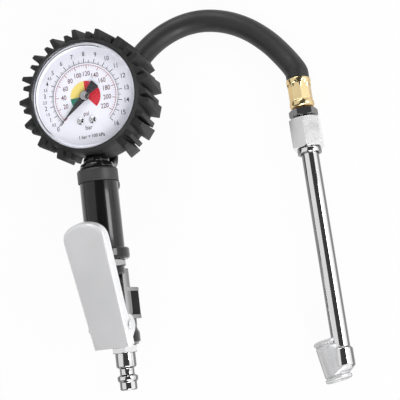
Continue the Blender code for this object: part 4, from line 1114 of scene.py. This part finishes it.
def ferrule(hose, top, foot):
    """Crimped sleeve with pressed flutes between its smooth end bands."""
    radius, depth = hose.ferrule / MM, hose.flute / MM
    count = hose.flutes

    def section(height, base):
        def point(degrees):
            off_middle = (degrees % (360.0 / count)) - 180.0 / count
            arch = FLUTE_ARCH * (off_middle * count / 180.0) ** 2
            ends = min(height - (foot + FOOT_BAND), (top - TOP_BAND - arch) - height)
            press = depth * max(0.0, min(1.0, ends / FLUTE_RUN))
            flat = (base - press) / math.cos(math.radians(off_middle))
            return (*polar(min(base, flat), degrees), height)
        return point

    levels = [(top, radius - 0.35), (top - 0.15, radius - 0.08), (top - 0.4, radius), (top - 1.5, radius),
              (top - 1.9, radius - 0.1)]
    body = [top - 2.4 - 0.35 * i for i in range(4)]
    body += [foot + 4.6 + (top - foot - 8.0) * (1 - i / 6) for i in range(1, 6)]
    body += [foot + 4.7 - 0.35 * i for i in range(5)]
    levels += [(height, radius - 0.12) for height in sorted(set(round(h, 3) for h in body), reverse=True)]
    levels += [(foot + 2.9, radius + 0.03), (foot + 1.6, radius + 0.03), (foot + 0.8, radius - 0.15),
               (foot + 0.25, radius - 0.6), (foot, radius - 1.0)]
    return rings([section(height, base) for height, base in levels], 128)


class INFLATOR_OT_hose(bpy.types.Operator):
    """Model the hose, its ferrules and the nut at the port"""

    bl_idname = "inflator.hose"
    bl_label = "Model hose"

    def execute(self, context):
        hose = context.scene.inflator_hose
        path = [TABLE @ point for point in smooth_route(HOSE_ROUTE, 2)]
        curve = bpy.data.curves.new("rubber_hose", "CURVE")
        curve.dimensions = "3D"
        curve.bevel_depth = hose.radius
        curve.bevel_resolution = 12
        curve.use_fill_caps = True
        curve.resolution_u = 6
        spline = curve.splines.new("POLY")
        fine = smooth_route([tuple(point) for point in path], 4)
        spline.points.add(len(fine) - 1)
        for point, co in zip(spline.points, fine):
            point.co = (*co, 1.0)
        spline.use_smooth = True
        curve.materials.append(bpy.data.materials["Hose rubber"])
        tube = shown("rubber_hose", curve)
        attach(tube, ROOT)
        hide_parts("hose")
        for name, place, top, foot in (("port_ferrule", PORT, 31.3, 14.7), ("arm_ferrule", ARM, 23.4, 5.9)):
            sleeve = at(ferrule(hose, top, foot), shift(turn=(0, 0, FLUTE_TURN)))
            piece(name.replace("ferrule", "sleeve"), sleeve, place, "Brass",
                                 replaces=(name,))
        nut = hex_bar(context.scene.inflator_arm.nut / MM, 14.4, 8.9)
        piece("port_hex", gathered(nut, rod(4.2, 10.0, 3.0, 32)), PORT, "Chrome",
              replaces=("port_nut",))
        return {"FINISHED"}


class INFLATOR_OT_arm(bpy.types.Operator):
    """Model the arm and its double-ended chuck"""

    bl_idname = "inflator.arm"
    bl_label = "Model arm"

    def execute(self, context):
        arm = context.scene.inflator_arm
        nut = at(hex_bar(arm.nut / MM, 4.8, 0.2), shift(turn=(0, 0, NUT_TURN)))
        piece("arm_hex", gathered(nut, rod(4.2, 3.0, -5.0, 32)), ARM, "Chrome",
              replaces=("arm_nut",))
        coupling = hex_bar(arm.coupling / MM, -0.9, -18.8, arm.tube / MM + 0.3)
        piece("coupling_bar", at(coupling, shift(turn=(0, 0, 90))), ARM, "Soft chrome",
              replaces=("hex_coupling",))
        tube = arm.tube / MM
        collar = bush(tube + 0.3, 7.0, -19.1, -21.9, 64, 0.3)
        piece("tube_ring", collar, ARM, "Chrome", replaces=("tube_collar",))
        piece("bright_tube", rod(tube, -16.3, TUBE_END, 64), ARM, "Chrome", replaces=("chrome_tube",))
        self.chuck(arm)
        return {"FINISHED"}

    def chuck(self, arm):
        """Chuck: a turned body with a mouth at each end, a web to the tube's side and the tube's socket."""
        half, radius = arm.chuck_half / MM, arm.chuck / MM
        upper = [(4.2, 3.0), (4.2, half - 0.6), (4.8, half), (7.1, half), (7.6, half - 0.5),
                 (7.6, half - 1.8), (6.8, half - 2.2), (6.8, half - 2.8), (radius, half - 3.3)]
        profile = [(1.8, 3.0)] + upper + [(x, -z) for x, z in reversed(upper)] + [(1.8, -3.0), (1.8, 3.0)]
        piece("double_chuck", lathe(profile, 96, soft=0.12), CHUCK, "Chuck plating",
              replaces=("chuck_body",))
        web = piece("chuck_web", rings([self.web(radius - 0.1, *level) for level in WEB_LEVELS], 96), CHUCK,
                    "Chuck plating")
        carve(web, at(drill(radius - 0.3, 20.0, -20.0, 64), CHUCK))
        boss = arm.socket / MM
        socket = lathe([(0, -133.6), (boss - 1.4, -133.6), (boss, -135.2), (boss, -144.6),
                        (boss - 1.2, -145.6), (0, -145.6)], 64, soft=0.2)
        piece("tube_socket", socket, ARM, "Chrome")

    def web(self, radius, height, inset, side, share):
        """Section of the chuck's web: the hull of the body's circle and one out towards the tube's axis."""
        into = CHUCK.inverted() @ ARM
        start, ahead = into @ Vector((0, 0, TUBE_MARK)), into.to_3x3() @ Vector((0, 0, -1.0))
        centre = (start + ahead * ((height - start.z) / ahead.z)).xy
        centre = (centre - centre.normalized() * inset) * share
        drawn = radius + (side - radius) * share

        def point(degrees):
            out = Vector(polar(1.0, degrees))
            if centre.dot(out) + drawn > radius:
                return (*(centre + out * drawn), height)
            return (*(out * radius), height)
        return point


# ---------------------------------------------------------------- stage

CAMERA_PLACE = (0.1653, -0.1576, 0.6832)
CAMERA_TURN = (11.894, 14.339, -5.341)
FLOOR_GLOW = 0.95

# Lamps: name, width and place
LAMPS = (("Key", 1.5, (-0.80, 0.25, 0.80)), ("Fill", 0.35, (0.79, 0.06, 0.49)),
         ("Low", 0.8, (0.35, -1.1, 0.75)), ("High", 0.8, (-0.2, 1.2, 0.8)))

# Light of the surround by its angle from straight up, towards the right
PANELS = ((-100, 0.05), (-90, 0.30), (-80, 0.30), (-74, 0.05), (-12, 0.05), (50, 0.04), (56, 0.95),
          (92, 0.95), (100, 0.06))


def lamp(name, power, width, place):
    """A soft square lamp that faces the middle of the floor."""
    data = bpy.data.lights.new(name, "AREA")
    data.energy = power
    data.size = width
    obj = shown(name, data)
    obj.location = place
    obj.rotation_euler = Vector(place).to_track_quat("Z", "Y").to_euler()


def white_where_seen(tree, lit):
    """Mix a surface with white light for the rays that show it, so that it stays pale with its shadow."""
    glow = add(tree, "Emission", {"Color": (1, 1, 1, 1)})
    path = add(tree, "LightPath").outputs
    seen = path["Is Camera Ray"]
    for other in ("Is Glossy Ray", "Is Transmission Ray"):
        seen = add(tree, "Math", {0: seen, 1: path[other]}, operation="MAXIMUM").outputs["Value"]
    part = add(tree, "Math", {0: seen, 1: FLOOR_GLOW}, operation="MULTIPLY").outputs["Value"]
    mix = add(tree, "MixShader", {"Fac": part, 1: lit, 2: glow.outputs["Emission"]})
    wire(tree, tree.nodes["Material Output"], {"Surface": mix.outputs["Shader"]})


class INFLATOR_OT_stage(bpy.types.Operator):
    """Set up the floor, the lights and the camera"""

    bl_idname = "inflator.stage"
    bl_label = "Set stage"

    def execute(self, context):
        stage = context.scene.inflator_stage
        self.floor()
        self.studio(context.scene, stage.ambient)
        for name, width, place in LAMPS:
            lamp(name, getattr(stage, name.lower()), width, place)
        camera = bpy.data.cameras.new("Camera")
        camera.lens = stage.lens
        camera.sensor_width = 36.0
        camera.clip_start = 0.01
        holder = shown("Camera", camera)
        holder.location = CAMERA_PLACE
        holder.rotation_euler = [math.radians(angle) for angle in CAMERA_TURN]
        context.scene.camera = holder
        context.scene.view_settings.view_transform = "Standard"
        return {"FINISHED"}

    def studio(self, scene, strength):
        """Surround that shines by its direction across the tool, as panels and dark gaps do in a studio."""
        world = bpy.data.worlds.new("Studio")
        scene.world = world
        world.use_nodes = True
        tree = world.node_tree
        split = add(tree, "SeparateXYZ", {"Vector": add(tree, "TexCoord").outputs["Generated"]}).outputs
        across = add(tree, "Math", {0: split["X"], 1: split["Z"]}, operation="ARCTAN2").outputs["Value"]
        turn = add(tree, "MapRange", {"Value": across, "From Min": -math.pi, "From Max": math.pi})
        ramp = add(tree, "ValToRGB", {"Fac": turn.outputs["Result"]})
        stops = ramp.color_ramp.elements
        stops.remove(stops[1])
        for number, (degrees, light) in enumerate(PANELS):
            stop = stops.new(0.5 + degrees / 360.0) if number else stops[0]
            stop.position = 0.5 + degrees / 360.0
            stop.color = (light, light, light, 1)
        wire(tree, tree.nodes["Background"], {"Strength": strength, "Color": ramp.outputs["Color"]})

    def floor(self):
        """Pale floor."""
        bm = bmesh.new()
        bmesh.ops.create_grid(bm, x_segments=1, y_segments=1, size=6.0)
        mesh = mesh_of("floor", bm)
        material, tree, shader = node_material("Floor white")
        wire(tree, shader, {"Base Color": (0.9, 0.9, 0.9, 1), "Roughness": 0.9})
        white_where_seen(tree, shader.outputs["BSDF"])
        mesh.materials.append(material)
        shown("floor", mesh)


# ---------------------------------------------------------------- panel

OPERATORS = (INFLATOR_OT_stage, INFLATOR_OT_finishes, INFLATOR_OT_hose, INFLATOR_OT_boot, INFLATOR_OT_dial,
             INFLATOR_OT_pointer, INFLATOR_OT_handle, INFLATOR_OT_valve, INFLATOR_OT_lever, INFLATOR_OT_arm)


class INFLATOR_PT_pieces(bpy.types.Panel):
    """Buttons and settings of the inflator's pieces"""

    bl_label = "Tire inflator"
    bl_idname = "INFLATOR_PT_pieces"
    bl_space_type = "VIEW_3D"
    bl_region_type = "UI"
    bl_category = "Inflator"

    def draw(self, context):
        for operator in OPERATORS:
            self.layout.operator(operator.bl_idname)
        for name, group in SETTINGS.items():
            box = self.layout.box()
            box.label(text=group.__name__.replace("Settings", ""))
            for label in group.__annotations__:
                box.prop(getattr(context.scene, name), label)


def register():
    """Register the settings, operators and panel."""
    for group in SETTINGS.values():
        bpy.utils.register_class(group)
    for name, group in SETTINGS.items():
        setattr(bpy.types.Scene, name, PointerProperty(type=group))
    for operator in OPERATORS:
        bpy.utils.register_class(operator)
    bpy.utils.register_class(INFLATOR_PT_pieces)


def unregister():
    """Undo what register did."""
    bpy.utils.unregister_class(INFLATOR_PT_pieces)
    for operator in reversed(OPERATORS):
        bpy.utils.unregister_class(operator)
    for name in SETTINGS:
        delattr(bpy.types.Scene, name)
    for group in SETTINGS.values():
        bpy.utils.unregister_class(group)


def main():
    """Build every piece."""
    register()
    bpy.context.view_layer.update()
    for operator in OPERATORS:
        getattr(bpy.ops.inflator, operator.bl_idname.split(".")[1])()
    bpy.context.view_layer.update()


if __name__ == "__main__":
    main()
